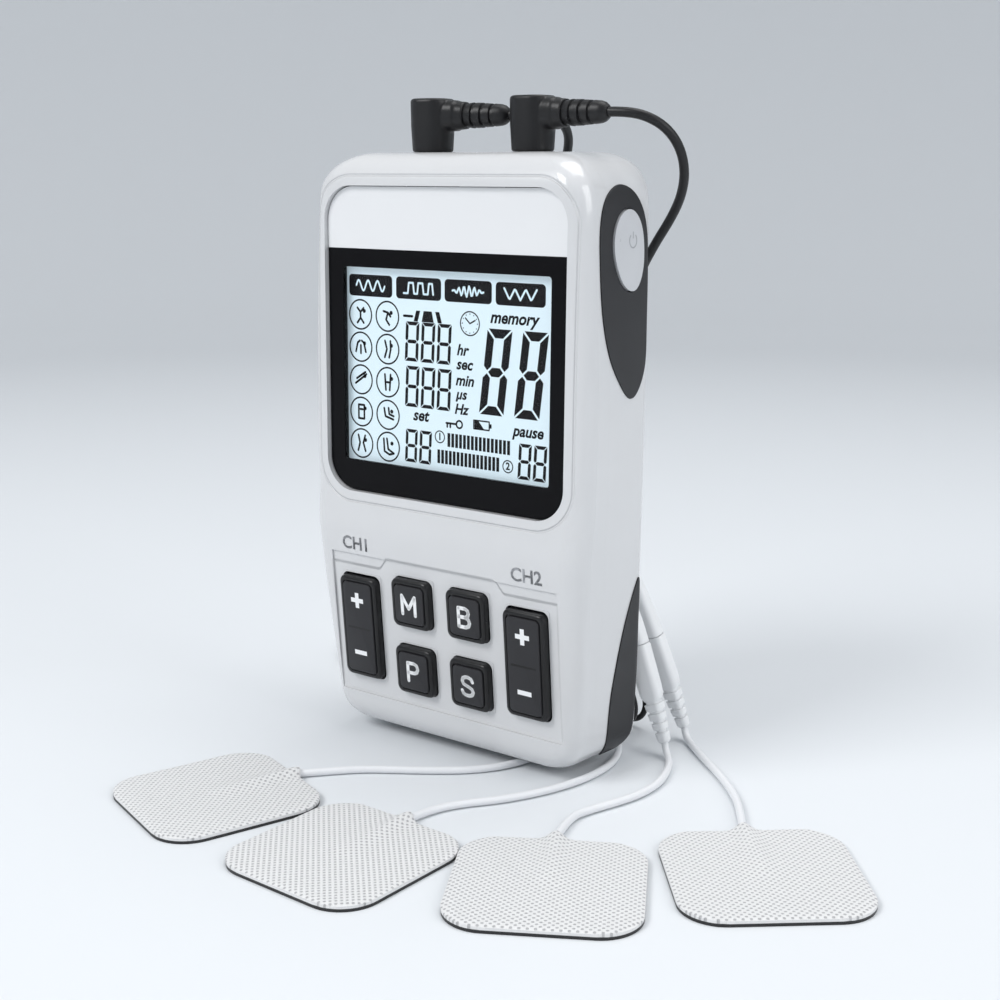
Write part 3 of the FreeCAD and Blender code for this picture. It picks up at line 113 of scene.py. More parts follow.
def soft_lamp(name, place, side, watts):
    """A square studio lamp that faces the unit's middle."""
    lamp = bpy.data.lights.new(name, "AREA")
    lamp.size = side
    lamp.energy = watts
    stand = bpy.data.objects.new(name, lamp)
    stand.location = Vector(place)
    aim = unit + Vector((0, 0, LAMPS_AIM)) - stand.location
    stand.rotation_euler = aim.to_track_quat("-Z", "Y").to_euler()
    bpy.context.scene.collection.objects.link(stand)


soft_lamp("key_lamp", (-0.35, -0.75, 0.8), 0.5, 7.0)
soft_lamp("side_lamp", (0.75, 0.1, 0.45), 0.5, 2.4)
soft_lamp("top_lamp", (0.05, 0.25, 0.95), 0.6, 3.2)


# ------------------------------------------------------------------ output leads
# Two black PVC leads, 2.2 mm thick. Each leaves the moulded boot of its plug, falls down
# behind the unit, and is wound there into a neat tied coil before it reaches its splitter.
def maths(nodes, links, kind, *values):
    """One arithmetic node; each value is a number or another node's output."""
    step = nodes.new("ShaderNodeMath")
    step.operation = kind
    for socket, value in zip(step.inputs, values):
        if isinstance(value, (int, float)):
            socket.default_value = value
        else:
            links.new(value, socket)
    return step.outputs[0]


def ranged(nodes, links, value, start, end, low=0.0, high=1.0, smooth=False):
    """A value that runs from low to high as another runs from start to end."""
    node = nodes.new("ShaderNodeMapRange")
    if smooth:
        node.interpolation_type = "SMOOTHSTEP"
    for socket, number in zip(("From Min", "From Max", "To Min", "To Max"),
                              (start, end, low, high)):
        node.inputs[socket].default_value = number
    links.new(value, node.inputs["Value"])
    return node.outputs["Result"]


def finish(name, colour, rough, grain=0.25 * MM, depth=0.01 * MM, drift=0.05, coat=0.0,
           metal=0.0, sheen=0.0, rough_drift=0.06, shine=0.5):
    """A finish whose colour and gloss drift a little, over a fine surface grain."""
    paint = bpy.data.materials.new(name)
    paint.use_nodes = True
    nodes, links = paint.node_tree.nodes, paint.node_tree.links
    skin = nodes["Principled BSDF"]
    skin.inputs["Metallic"].default_value = metal
    skin.inputs["Specular IOR Level"].default_value = shine
    skin.inputs["Coat Weight"].default_value = coat
    skin.inputs["Coat Roughness"].default_value = 0.08
    skin.inputs["Sheen Weight"].default_value = sheen
    place = nodes.new("ShaderNodeTexCoord")
    cloud = nodes.new("ShaderNodeTexNoise")
    cloud.inputs["Scale"].default_value = 90
    cloud.inputs["Detail"].default_value = 3
    links.new(place.outputs["Object"], cloud.inputs["Vector"])
    tint = nodes.new("ShaderNodeMix")
    tint.data_type = "RGBA"
    dark, light = [[min(1, c * k) for c in colour] for k in (1 - drift, 1 + drift)]
    tint.inputs["A"].default_value = (*dark, 1)
    tint.inputs["B"].default_value = (*light, 1)
    links.new(cloud.outputs["Fac"], tint.inputs["Factor"])
    links.new(tint.outputs["Result"], skin.inputs["Base Color"])
    gloss = ranged(nodes, links, cloud.outputs["Fac"], 0, 1, max(0.02, rough - rough_drift),
                   rough + rough_drift)
    links.new(gloss, skin.inputs["Roughness"])
    speck = nodes.new("ShaderNodeTexNoise")
    speck.inputs["Scale"].default_value = 1 / grain
    speck.inputs["Detail"].default_value = 2
    links.new(place.outputs["Object"], speck.inputs["Vector"])
    relief = nodes.new("ShaderNodeBump")
    relief.inputs["Distance"].default_value = depth
    relief.inputs["Strength"].default_value = 1.0
    links.new(speck.outputs["Fac"], relief.inputs["Height"])
    links.new(relief.outputs["Normal"], skin.inputs["Normal"])
    return paint


def cord_curve(name, spots, wide, paint, around=4):
    """A round cord whose line is one smooth spline along the spots."""
    curve = bpy.data.curves.new(name, "CURVE")
    curve.dimensions = "3D"
    curve.bevel_depth = wide / 2
    curve.bevel_resolution = around
    curve.resolution_u = 5
    curve.use_fill_caps = True
    spline = curve.splines.new("NURBS")
    spline.points.add(len(spots) - 1)
    for point, spot in zip(spline.points, spots):
        point.co = (*spot, 1)
    spline.use_endpoint_u = True
    spline.order_u = 3
    cord = bpy.data.objects.new(name, curve)
    bpy.context.scene.collection.objects.link(cord)
    curve.materials.append(paint)
    return cord


LEAD_WIDE = 2.2 * MM
TURNS = 8
TURN_POINTS = 24
LAY = 2.35 * MM
COIL_MEAN = 12.1 * MM
FIRST_LAYER = 1.6 * MM
# The turns fill a bundle three wide and three high. Each turn ends with a short step into
# the next place, and each step comes a little earlier round the coil than the one before.
PLACES = [(1, 0), (0, 0), (-1, 0), (-1, 1), (-1, 2), (0, 2), (0, 1), (1, 1), (1, 2)]
STEP_FIRST, STEP_BACK, STEP_LONG = 318, 40, 36


def coil_turns(centre, start, way, last):
    """Points round a coil, from the angle start, turning by way, to last past the turns."""
    spots = []
    total = TURNS * 360 + last
    count = round(total * TURN_POINTS / 360)
    for i in range(count + 1):
        turned = total * i / count
        lap = min(int(turned // 360), TURNS)
        here = turned - 360 * lap
        share = 0.0
        if lap < TURNS:
            share = (here - (STEP_FIRST - STEP_BACK * lap)) / STEP_LONG
            share = min(max(share, 0.0), 1.0)
            share = share * share * (3 - 2 * share)
        across, layer = PLACES[lap]
        if share:
            next_across, next_layer = PLACES[lap + 1]
            across += (next_across - across) * share
            layer += (next_layer - layer) * share
        angle = math.radians(start + way * turned)
        reach = COIL_MEAN + across * LAY
        spots.append((centre[0] + reach * math.cos(angle),
                      centre[1] + reach * math.sin(angle), FIRST_LAYER + layer * LAY))
    return spots


COIL_LEFT, COIL_RIGHT = (-0.0420, 0.0650), (-0.0060, 0.0660)
LEFT_BOOT, RIGHT_BOOT = (0.00554, 0.01956, 0.1545), (0.03515, 0.0160, 0.1545)
LEAD_LEFT = [
    LEFT_BOOT, (0.0086, 0.0203, 0.1546), (0.0117, 0.0223, 0.1546),
    (0.0138, 0.0254, 0.1540), (0.0145, 0.0290, 0.1524), (0.0136, 0.0324, 0.1496),
    (0.0114, 0.0349, 0.1454), (0.0082, 0.0362, 0.1398), (0.0046, 0.0364, 0.1330),
    (0.0004, 0.0360, 0.1254), (-0.0032, 0.0363, 0.1148), (-0.0068, 0.0366, 0.1032),
    (-0.0102, 0.0367, 0.0908), (-0.0136, 0.0372, 0.0778), (-0.0168, 0.0376, 0.0646),
    (-0.0196, 0.0384, 0.0516), (-0.0220, 0.0399, 0.0394), (-0.0242, 0.0422, 0.0282),
    (-0.0263, 0.0450, 0.0184), (-0.0280, 0.0482, 0.0100), (-0.0288, 0.0515, 0.0048),
    (-0.0283, 0.0555, 0.0023), (-0.0278, 0.0600, 0.0017),
]
TAIL_LEFT = [
    (-0.0455, 0.0794, 0.0059), (-0.0489, 0.0790, 0.0042), (-0.0522, 0.0782, 0.0025),
    (-0.0552, 0.0773, 0.0016), (-0.0582, 0.0763, 0.0015), (-0.0610, 0.0752, 0.0015),
]
LEAD_RIGHT = [
    RIGHT_BOOT, (0.0392, 0.0166, 0.1545), (0.0434, 0.0186, 0.1535),
    (0.0466, 0.0216, 0.1510), (0.0482, 0.0249, 0.1468), (0.0478, 0.0280, 0.1416),
    (0.0454, 0.0308, 0.1362), (0.0416, 0.0328, 0.1310), (0.0370, 0.0340, 0.1254),
    (0.0324, 0.0348, 0.1184), (0.0280, 0.0353, 0.1096), (0.0236, 0.0358, 0.0992),
    (0.0190, 0.0360, 0.0878), (0.0144, 0.0364, 0.0760), (0.0098, 0.0367, 0.0640),
    (0.0052, 0.0374, 0.0524), (0.0005, 0.0386, 0.0416), (-0.0044, 0.0406, 0.0316),
    (-0.0092, 0.0432, 0.0226), (-0.0133, 0.0462, 0.0144), (-0.0168, 0.0495, 0.0076),
    (-0.0190, 0.0530, 0.0037), (-0.0201, 0.0570, 0.0021), (-0.0204, 0.0612, 0.0017),
]
TAIL_RIGHT = [
    (0.0084, 0.0625, 0.0060), (0.0081, 0.0592, 0.0044), (0.0075, 0.0559, 0.0027),
    (0.0070, 0.0525, 0.0017), (0.0082, 0.0495, 0.0015), (0.0111, 0.0476, 0.0015),
    (0.0146, 0.0471, 0.0015),
]
black_pvc = finish("black_pvc", (0.009, 0.009, 0.010), 0.4, grain=0.4 * MM, shine=0.35)
turns_left = coil_turns(COIL_LEFT, 0, 1, 90)
turns_right = coil_turns(COIL_RIGHT, 180, -1, 180)
lead_1 = cord_curve("lead_ch1_cord", at_unit(*LEAD_LEFT, *turns_left, *TAIL_LEFT),
                    LEAD_WIDE, black_pvc)
lead_2 = cord_curve("lead_ch2_cord", at_unit(*LEAD_RIGHT, *turns_right, *TAIL_RIGHT),
                    LEAD_WIDE, black_pvc)
for lead, channel in ((lead_1, "ch1"), (lead_2, "ch2")):
    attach(lead, "unit")
    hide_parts(f"lead_{channel}", f"coil_{channel}")


# ------------------------------------------------------------------ splitters
# The flat moulded block at the end of each lead, where its two cores part into branches.
# It is PVC, moulded over the crimped cores, with rounded ends and a sunk panel on top.
def rounded_loop(half_wide, half_tall, corner, steps):
    """Points round a rounded rectangle, as (across, up)."""
    corner = min(corner, half_wide * 0.999, half_tall * 0.999)
    spots = []
    for quarter, (sx, sz) in enumerate(((1, 1), (-1, 1), (-1, -1), (1, -1))):
        for i in range(steps + 1):
            angle = math.pi / 2 * (quarter + i / steps)
            spots.append((sx * (half_wide - corner) + corner * math.cos(angle),
                          sz * (half_tall - corner) + corner * math.sin(angle)))
    return spots


def metres(rows):
    """Rows of millimetres, in metres."""
    return [tuple(value * MM for value in row) for row in rows]


def skin_over(form, loops):
    """Faces between each loop of points and the next, and over both ends."""
    for near, far in zip(loops, loops[1:]):
        for i in range(len(near)):
            j = (i + 1) % len(near)
            form.faces.new((near[i], near[j], far[j], far[i]))
    form.faces.new(loops[0])
    form.faces.new(loops[-1])


def stacked(name, sections, place, paint, body="unit", steps=6, sharp=32):
    """A closed skin over rounded sections, each (along, half wide, half tall, corner)."""
    form = bmesh.new()
    loops = []
    for along, half_wide, half_tall, corner in sections:
        spots = rounded_loop(half_wide, half_tall, corner, steps)
        loops.append([form.verts.new(place @ Vector((x, along, z))) for x, z in spots])
    skin_over(form, loops)
    bmesh.ops.recalc_face_normals(form, faces=form.faces)
    return made(name, form, paint, body, sharp)


def made(name, form, paint, body="unit", sharp=32):
    """A piece from its finished form, smooth except at its sharp edges."""
    mesh = bpy.data.meshes.new(name)
    form.to_mesh(mesh)
    form.free()
    for face in mesh.polygons:
        face.use_smooth = True
    mesh.set_sharp_from_angle(angle=math.radians(sharp))
    piece = bpy.data.objects.new(name, mesh)
    bpy.context.scene.collection.objects.link(piece)
    mesh.materials.append(paint)
    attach(piece, body)
    return piece


def facing(start, way, up=(0, 0, 1)):
    """The place of a piece whose own Y runs along way and whose Z is nearest to up."""
    along = Vector(way).normalized()
    side = along.cross(Vector(up)).normalized()
    rise = side.cross(along)
    return Matrix.Translation(start) @ Matrix((side, along, rise)).transposed().to_4x4()


SPLIT_LONG = 9.5 * MM
FORK_APART = 1.6 * MM
SPLIT_CORNER = 1.1
split_ways = {
    "ch1": (at_unit(TAIL_LEFT[-1])[0], Vector((-0.93, -0.38, 0)).normalized()),
    "ch2": (at_unit(TAIL_RIGHT[-1])[0], Vector((0.97, -0.2, 0)).normalized()),
}
splitters, fork = {}, {}
for channel, (start, way) in split_ways.items():
    profile = [(0, 1.6, 1.15), (0.4, 2.1, 1.4), (1.6, 2.5, 1.55), (1.7, 2.3, 1.4),
               (2.1, 2.3, 1.4), (2.2, 2.65, 1.6), (7.4, 2.95, 1.65), (8.9, 2.9, 1.55),
               (9.5, 2.5, 1.25)]
    sections = metres([(*row, SPLIT_CORNER) for row in profile])
    place = facing(Vector((start.x, start.y, 1.7 * MM)), way)
    splitters[channel] = stacked(f"splitter_{channel}", sections, place, black_pvc)
    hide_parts("lead_splitters")
    across = Vector((-way.y, way.x, 0)) * FORK_APART
    fork[channel] = (start + way * SPLIT_LONG + across, start + way * SPLIT_LONG - across)

# ------------------------------------------------------------------ coil ties
# A flat black band round each coil, drawn snug over its turns and pushed through its own
# small head. It keeps the coil as neat as it came out of the box.
TIE_WIDE, TIE_THICK = 2.6 * MM, 0.45 * MM
tie_plastic = finish("tie_plastic", (0.03, 0.03, 0.031), 0.5, grain=0.5 * MM)
tie_half = 1.5 * LAY + 0.35 * MM
for channel, centre, turn in (("ch1", COIL_LEFT, 205), ("ch2", COIL_RIGHT, 75)):
    way = Vector((math.cos(math.radians(turn)), math.sin(math.radians(turn)), 0))
    over = Vector((-way.y, way.x, 0))
    heart = at_unit((*centre, FIRST_LAYER + LAY))[0] + way * COIL_MEAN
    form = bmesh.new()
    for outer_side in (0, 1):
        half = tie_half - TIE_THICK * (1 - outer_side)
        high = min(half, heart.z - 0.05 * MM)
        spots = rounded_loop(half, high, 1.2 * MM, 5)
        for edge in (-1, 1):
            for x, z in spots:
                form.verts.new(heart + way * x + over * edge * TIE_WIDE / 2
                               + Vector((0, 0, z)))
    form.verts.ensure_lookup_table()
    count = len(form.verts) // 4
    for i in range(count):
        j = (i + 1) % count
        for a, b in ((0, 1), (1, 3), (3, 2), (2, 0)):
            form.faces.new([form.verts[n] for n in (
                a * count + i, a * count + j, b * count + j, b * count + i)])
    bmesh.ops.recalc_face_normals(form, faces=form.faces)
    tie = made(f"coil_tie_{channel}", form, tie_plastic)
    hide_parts("coil_ties")

# ------------------------------------------------------------------ branches
# Past its splitter each lead runs on as two thinner black wires, 1.5 mm thick. Two lie on
# the table behind the unit, and two rise behind it and turn over into standing connectors.
BRANCH_WIDE = 1.5 * MM
CONNECTOR_LONG = 44 * MM
connector_ends = {
    "1": ((-0.0020, 0.0353, 0.0029), (-0.0400, 0.0353, 0.0029)),
    "2": ((0.0020, 0.0426, 0.0029), (-0.0400, 0.0426, 0.0029)),
    "3": ((0.0429, 0.0338, 0.0036), (0.0282, 0.0342, 0.0451)),
    "4": ((0.0413, 0.0462, 0.0036), (0.0281, 0.0396, 0.0450)),
}
wire_end, pin_way = {}, {}
for number, (start, toward) in connector_ends.items():
    wire_end[number], target = at_unit(start, toward)
    pin_way[number] = (target - wire_end[number]).normalized()
pin_end = {n: wire_end[n] + pin_way[n] * CONNECTOR_LONG for n in wire_end}
BRANCHES = {
    "1": ("ch1", 1, [
        (-0.0736, 0.0718, 0.0011), (-0.0772, 0.0682, 0.00095), (-0.0796, 0.0628, 0.00095),
        (-0.0800, 0.0562, 0.00095), (-0.0782, 0.0498, 0.00095), (-0.0742, 0.0440, 0.00095),
        (-0.0684, 0.0396, 0.00095), (-0.0616, 0.0368, 0.0012), (-0.0540, 0.0356, 0.0020)]),
    "2": ("ch1", 0, [
        (-0.0720, 0.0686, 0.0011), (-0.0746, 0.0650, 0.00095), (-0.0758, 0.0602, 0.00095),
        (-0.0752, 0.0548, 0.00095), (-0.0726, 0.0498, 0.00095), (-0.0680, 0.0460, 0.00095),
        (-0.0620, 0.0436, 0.00095), (-0.0554, 0.0427, 0.0013), (-0.0486, 0.0425, 0.0021)]),
    "3": ("ch2", 1, [
        (0.0266, 0.0431, 0.0021), (0.0291, 0.0420, 0.0044), (0.0302, 0.0407, 0.0080),
        (0.0296, 0.0394, 0.0124), (0.0274, 0.0382, 0.0180), (0.0243, 0.0372, 0.0248),
        (0.0205, 0.0365, 0.0322), (0.0170, 0.0360, 0.0390), (0.0152, 0.0357, 0.0436),
        (0.0151, 0.0354, 0.0467), (0.0165, 0.0352, 0.0493), (0.0189, 0.0349, 0.0511),
        (0.0219, 0.0347, 0.0515), (0.0248, 0.0345, 0.0506), (0.0270, 0.0343, 0.0485)]),
    "4": ("ch2", 0, [
        (0.0272, 0.0464, 0.0021), (0.0297, 0.0457, 0.0044), (0.0308, 0.0448, 0.0080),
        (0.0302, 0.0439, 0.0124), (0.0280, 0.0430, 0.0180), (0.0249, 0.0423, 0.0248),
        (0.0210, 0.0418, 0.0322), (0.0173, 0.0414, 0.0390), (0.0154, 0.0411, 0.0436),
        (0.0152, 0.0409, 0.0467), (0.0166, 0.0406, 0.0493), (0.0190, 0.0404, 0.0511),
        (0.0220, 0.0402, 0.0514), (0.0248, 0.0400, 0.0505), (0.0270, 0.0398, 0.0484)]),
}
branches = {}
for number, (channel, side, spots) in BRANCHES.items():
    line = [fork[channel][side], *at_unit(*spots), pin_end[number]]
    branches[number] = cord_curve(f"branch_cord_{number}", line, BRANCH_WIDE, black_pvc)
    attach(branches[number], "unit")
    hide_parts(f"branch_{number}")

# ------------------------------------------------------------------ pin connectors
# White moulded connectors in two halves. The pin half is a tapered, rounded bar on a
# branch. The wire half takes its steel pin, and ends in a ribbed strain relief.
white_moulding = finish("white_moulding", (0.80, 0.81, 0.82), 0.36, grain=0.3 * MM,
                        depth=0.006 * MM, drift=0.02)
housings, wire_halves = {}, {}
for number, start in wire_end.items():
    place = facing(start, pin_way[number], up=(0, -1, 0.2) if number in "34" else (0, 0, 1))
    relief = [(0, 1.25, 1.15, 1.0), (0.3, 1.5, 1.4, 1.1)]
    for rib in range(4):
        at = 1.0 + rib * 2.45
        wide = 1.55 + rib * 0.17
        relief += [(at, wide, wide, 1.1), (at + 1.55, wide + 0.1, wide + 0.08, 1.1),
                   (at + 1.65, wide - 0.4, wide - 0.3, 1.0),
                   (at + 2.2, wide - 0.38, wide - 0.28, 1.0)]
    relief += [(10.9, 2.2, 1.8, 1.1), (12.0, 2.65, 2.1, 1.3), (14.0, 2.8, 2.2, 1.4),
               (24.6, 2.8, 2.2, 1.4), (24.95, 2.65, 2.05, 1.3)]
    wire_halves[number] = stacked(f"wire_socket_{number}", metres(relief), place,
                                  white_moulding)
    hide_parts("wire_sockets")
    bar = [(25.05, 2.4, 2.0, 1.3), (25.3, 2.6, 2.2, 1.4), (30.0, 2.5, 2.15, 1.4),
           (38.0, 2.0, 1.8, 1.3), (42.5, 1.6, 1.55, 1.2), (43.7, 1.4, 1.4, 1.1),
           (44.0, 1.15, 1.15, 1.0)]
    housings[number] = stacked(f"pin_housing_{number}", metres(bar), place, white_moulding)
    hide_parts("pin_housings")

# ------------------------------------------------------------------ pad wires
# Four soft white PVC wires, 1.8 mm thick. Each is bonded under its pad's cloth, lies on the
# table in a loose curve, and runs up into the strain relief of its connector.
WIRE_WIDE = 1.8 * MM
PAD_SIDE, PAD_CORNER, SLEEVE_OUT = 40 * MM, 9 * MM, 1.5 * MM
PADS = {
    "1": (-0.0274, -0.0502, -19.3), "2": (0.0166, -0.0552, -1.9),
    "3": (0.0595, -0.0412, 29.4), "4": (0.0928, -0.0112, 39.2),
}
LYING = WIRE_WIDE / 2 + 0.12 * MM
PAD_WIRES = {
    "1": [(-0.0150, -0.0240), (-0.0098, -0.0186), (-0.0026, -0.0140), (0.0046, -0.0092),
          (0.0112, -0.0040), (0.0160, 0.0024), (0.0188, 0.0100), (0.0186, 0.0182),
          (0.0158, 0.0256), (0.0112, 0.0310, 0.0011), (0.0050, 0.0344, 0.0019)],
    "2": [(0.0180, -0.0276), (0.0214, -0.0208), (0.0268, -0.0144), (0.0312, -0.0070),
          (0.0346, 0.0012), (0.0366, 0.0100), (0.0366, 0.0190), (0.0338, 0.0276),
          (0.0284, 0.0346), (0.0212, 0.0392), (0.0132, 0.0416, 0.0014),
          (0.0074, 0.0424, 0.0023)],
    "3": [(0.0454, -0.0126), (0.0468, -0.0064), (0.0494, 0.0004), (0.0516, 0.0078),
          (0.0518, 0.0158), (0.0500, 0.0226), (0.0478, 0.0278), (0.0456, 0.0310),
          (0.0437, 0.0330, 0.0019)],
    "4": [(0.0734, 0.0154), (0.0672, 0.0228), (0.0604, 0.0294), (0.0532, 0.0354),
          (0.0476, 0.0404), (0.0442, 0.0436), (0.0422, 0.0454, 0.0019)],
}
white_pvc = finish("white_pvc", (0.78, 0.79, 0.81), 0.34, grain=0.4 * MM,
                   depth=0.004 * MM, drift=0.02)
pad_place, pad_wires = {}, {}
for number, (x, y, turn) in PADS.items():
    heart = at_unit((x, y, 0))[0]
    pad_place[number] = Matrix.Translation(heart) @ Matrix.Rotation(math.radians(turn), 4, "Z")
    leaves = pad_place[number] @ Vector((0, PAD_SIDE / 2 + SLEEVE_OUT, LYING))
    spots = [(*spot, LYING) if len(spot) == 2 else spot for spot in PAD_WIRES[number]]
    line = [leaves, *at_unit(*spots), wire_end[number]]
    pad_wires[number] = cord_curve(f"pad_wire_{number}", line, WIRE_WIDE, white_pvc)
    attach(pad_wires[number], "unit")
    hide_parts(f"pigtail_{number}")

# ------------------------------------------------------------------ lead plugs
# Right-angled plugs moulded in black PVC over a nickel-plated tip. A stout stem stands in
# the jack, and its arm tapers into a grooved strain relief with the lead in its middle.
PLUG_FOOT, PLUG_TOP, ARM_HIGH = 146.1, 158.5, 154.5
plugs, boots = {}, {}
for channel, column, yaw in (("ch1", -14.65, 10), ("ch2", 14.65, 0)):
    stand = Matrix.Translation(at_unit((column * MM, JACK_BACK, 0))[0])
    stand = stand @ Matrix.Rotation(math.radians(yaw), 4, "Z")
    stem = [(PLUG_FOOT, 4.5, 4.5, 4.2), (146.5, 4.75, 4.75, 4.3), (152.0, 4.95, 4.95, 4.2),
            (157.9, 4.95, 4.95, 4.0), (158.35, 4.7, 4.7, 3.8), (PLUG_TOP, 4.3, 4.3, 3.4)]
    form = bmesh.new()
    rise = [[form.verts.new(stand @ Vector((x, z, at))) for x, z in rounded_loop(w, t, c, 8)]
            for at, w, t, c in metres(stem)]
    arm = [(0.0, 3.6, 3.6, 2.6), (6.6, 3.55, 3.55, 2.7), (7.2, 3.3, 3.3, 2.7),
           (9.3, 3.1, 3.1, 2.7)]
    lay = stand @ Matrix.Translation((0, 0, ARM_HIGH * MM))
    reach = [[form.verts.new(lay @ Vector((at, x, z))) for x, z in rounded_loop(w, t, c, 8)]
             for at, w, t, c in metres(arm)]
    for loops in (rise, reach):
        skin_over(form, loops)
    bmesh.ops.recalc_face_normals(form, faces=form.faces)
    plug = made(f"plug_body_{channel}", form, black_pvc, sharp=180)
    melt = plug.modifiers.new("melt", "REMESH")
    melt.mode = "VOXEL"
    melt.voxel_size = 0.25 * MM
    melt.use_smooth_shade = True
    ease = plug.modifiers.new("ease", "SMOOTH")
    ease.iterations = 4
    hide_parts(f"plug_{channel}")
    plugs[channel] = plug
    relief = [(8.6, 2.4, 2.4, 2.3), (9.6, 2.75, 2.75, 2.5), (11.2, 2.95, 2.95, 2.6),
              (11.4, 2.5, 2.5, 2.3), (12.0, 2.5, 2.5, 2.3), (12.2, 2.9, 2.9, 2.6),
              (13.6, 2.85, 2.85, 2.5), (13.8, 2.35, 2.35, 2.2), (14.4, 2.35, 2.35, 2.2),
              (14.6, 2.75, 2.75, 2.5), (16.0, 2.65, 2.65, 2.4), (16.2, 2.2, 2.2, 2.1),
              (16.8, 2.2, 2.2, 2.1), (17.0, 2.6, 2.6, 2.4), (18.6, 2.45, 2.45, 2.3),
              (19.4, 2.2, 2.2, 2.1), (20.1, 1.7, 1.7, 1.65), (20.5, 1.25, 1.25, 1.2)]
    boot_place = lay @ Matrix.Rotation(math.radians(-90), 4, "Z")
    boots[channel] = stacked(f"plug_boot_{channel}", metres(relief), boot_place, black_pvc)

for number, branch in branches.items():
    channel, side = BRANCHES[number][:2]
for number, wire in pad_wires.items():
    leaves = pad_place[number] @ Vector((0, PAD_SIDE / 2 + SLEEVE_OUT, LYING))

# ------------------------------------------------------------------ electrode pads
# Squares of white non-woven cloth with an embossed grid, over a black conductive film and
# gel. The wire's end lies in a low tent of cloth that runs to the middle of the pad.
GEL_THICK, CLOTH_THICK = 0.7 * MM, 0.9 * MM
TENT_HIGH, TENT_WIDE, TENT_LONG = 1.35 * MM, 2.5 * MM, 22 * MM
CLOTH_CELL, CLOTH_DEEP = 0.8 * MM, 0.2 * MM
cloth = bpy.data.materials.new("pad_cloth")
cloth.use_nodes = True
nodes, links = cloth.node_tree.nodes, cloth.node_tree.links
skin = nodes["Principled BSDF"]
skin.inputs["Roughness"].default_value = 0.85
skin.inputs["Sheen Weight"].default_value = 0.25
skin.inputs["Sheen Roughness"].default_value = 0.5
place = nodes.new("ShaderNodeUVMap")
split = nodes.new("ShaderNodeSeparateXYZ")
links.new(place.outputs["UV"], split.inputs["Vector"])
waves = [maths(nodes, links, "SINE", maths(nodes, links, "MULTIPLY", split.outputs[axis],
                                           math.pi / CLOTH_CELL)) for axis in "XY"]
# The grid's pits both sink the cloth through the bump and turn its colour from pale to grey: the
# grey is painted shade in the pits.
grid_pits_and_shade = ranged(nodes, links, maths(nodes, links, "MULTIPLY", *waves), 0.25, 0.75)
fibres = nodes.new("ShaderNodeTexNoise")
fibres.inputs["Scale"].default_value = 2600
fibres.inputs["Detail"].default_value = 4
links.new(place.outputs["UV"], fibres.inputs["Vector"])
tint = nodes.new("ShaderNodeMix")
tint.data_type = "RGBA"
tint.inputs["A"].default_value = (0.74, 0.74, 0.74, 1)
tint.inputs["B"].default_value = (0.44, 0.44, 0.45, 1)
links.new(grid_pits_and_shade, tint.inputs["Factor"])
links.new(tint.outputs["Result"], skin.inputs["Base Color"])
height = maths(nodes, links, "SUBTRACT", fibres.outputs["Fac"], grid_pits_and_shade)
relief = nodes.new("ShaderNodeBump")
relief.inputs["Distance"].default_value = CLOTH_DEEP
links.new(height, relief.inputs["Height"])
links.new(relief.outputs["Normal"], skin.inputs["Normal"])


def pad_edge(y):
    """Half the pad's width at a distance from its middle."""
    past = max(0.0, abs(y) - (PAD_SIDE / 2 - PAD_CORNER))
    return PAD_SIDE / 2 - PAD_CORNER + math.sqrt(max(0.0, PAD_CORNER ** 2 - past ** 2))


PAD_STEPS = 64
for number, place in pad_place.items():
    wander = random.Random(int(number))
    shift = [wander.uniform(0, math.tau) for _ in range(2)]
    form = bmesh.new()
    weave = form.loops.layers.uv.new("weave")
    rows = []
    for top in (1, 0):
        for j in range(PAD_STEPS + 1):
            angle = math.pi * (j / PAD_STEPS - 0.5)
            y = PAD_SIDE / 2 * (0.55 * math.sin(angle) + 0.45 * (2 * j / PAD_STEPS - 1))
            row = []
            for i in range(PAD_STEPS + 1):
                u = 2 * i / PAD_STEPS - 1
                x = pad_edge(y) * (0.7 * u + 0.3 * u ** 3)
                rim = min(pad_edge(y) - abs(x), PAD_SIDE / 2 - abs(y))
                run = min(1.0, max(0.0, (y + TENT_LONG - PAD_SIDE / 2) / TENT_LONG))
                near = math.exp(-(x / (TENT_WIDE * (1.25 - 0.45 * run))) ** 2)
                z = GEL_THICK
                if top:
                    z += CLOTH_THICK * (1 - 0.35 * math.exp(-rim / (0.5 * MM)))
                    z += 0.05 * MM * math.sin(x * 260 + shift[0]) * math.sin(y * 210 + shift[1])
                    z += TENT_HIGH * near * run ** 0.6
                out = SLEEVE_OUT * math.exp(-(x / (1.9 * MM)) ** 2) * run ** 6
                vert = form.verts.new(place @ Vector((x, y + out, z)))
                row.append((vert, (x, y)))
            rows.append(row)
    tops, unders = rows[:PAD_STEPS + 1], rows[PAD_STEPS + 1:]
    sides = []
    for j in range(PAD_STEPS):
        for i in range(PAD_STEPS):
            sides.append([tops[j][i], tops[j][i + 1], tops[j + 1][i + 1], tops[j + 1][i]])
            sides.append([unders[j + 1][i], unders[j + 1][i + 1], unders[j][i + 1], unders[j][i]])
        for i in (0, PAD_STEPS):
            sides.append([tops[j][i], tops[j + 1][i], unders[j + 1][i], unders[j][i]])
    for j in (0, PAD_STEPS):
        for i in range(PAD_STEPS):
            sides.append([tops[j][i], unders[j][i], unders[j][i + 1], tops[j][i + 1]])
    for corners in sides:
        face = form.faces.new([corner[0] for corner in corners])
        for loop, corner in zip(face.loops, corners):
            loop[weave].uv = corner[1]
    bmesh.ops.recalc_face_normals(form, faces=form.faces)
    pad = made(f"pad_cloth_{number}", form, cloth, sharp=60)
    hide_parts(f"pad_{number}")


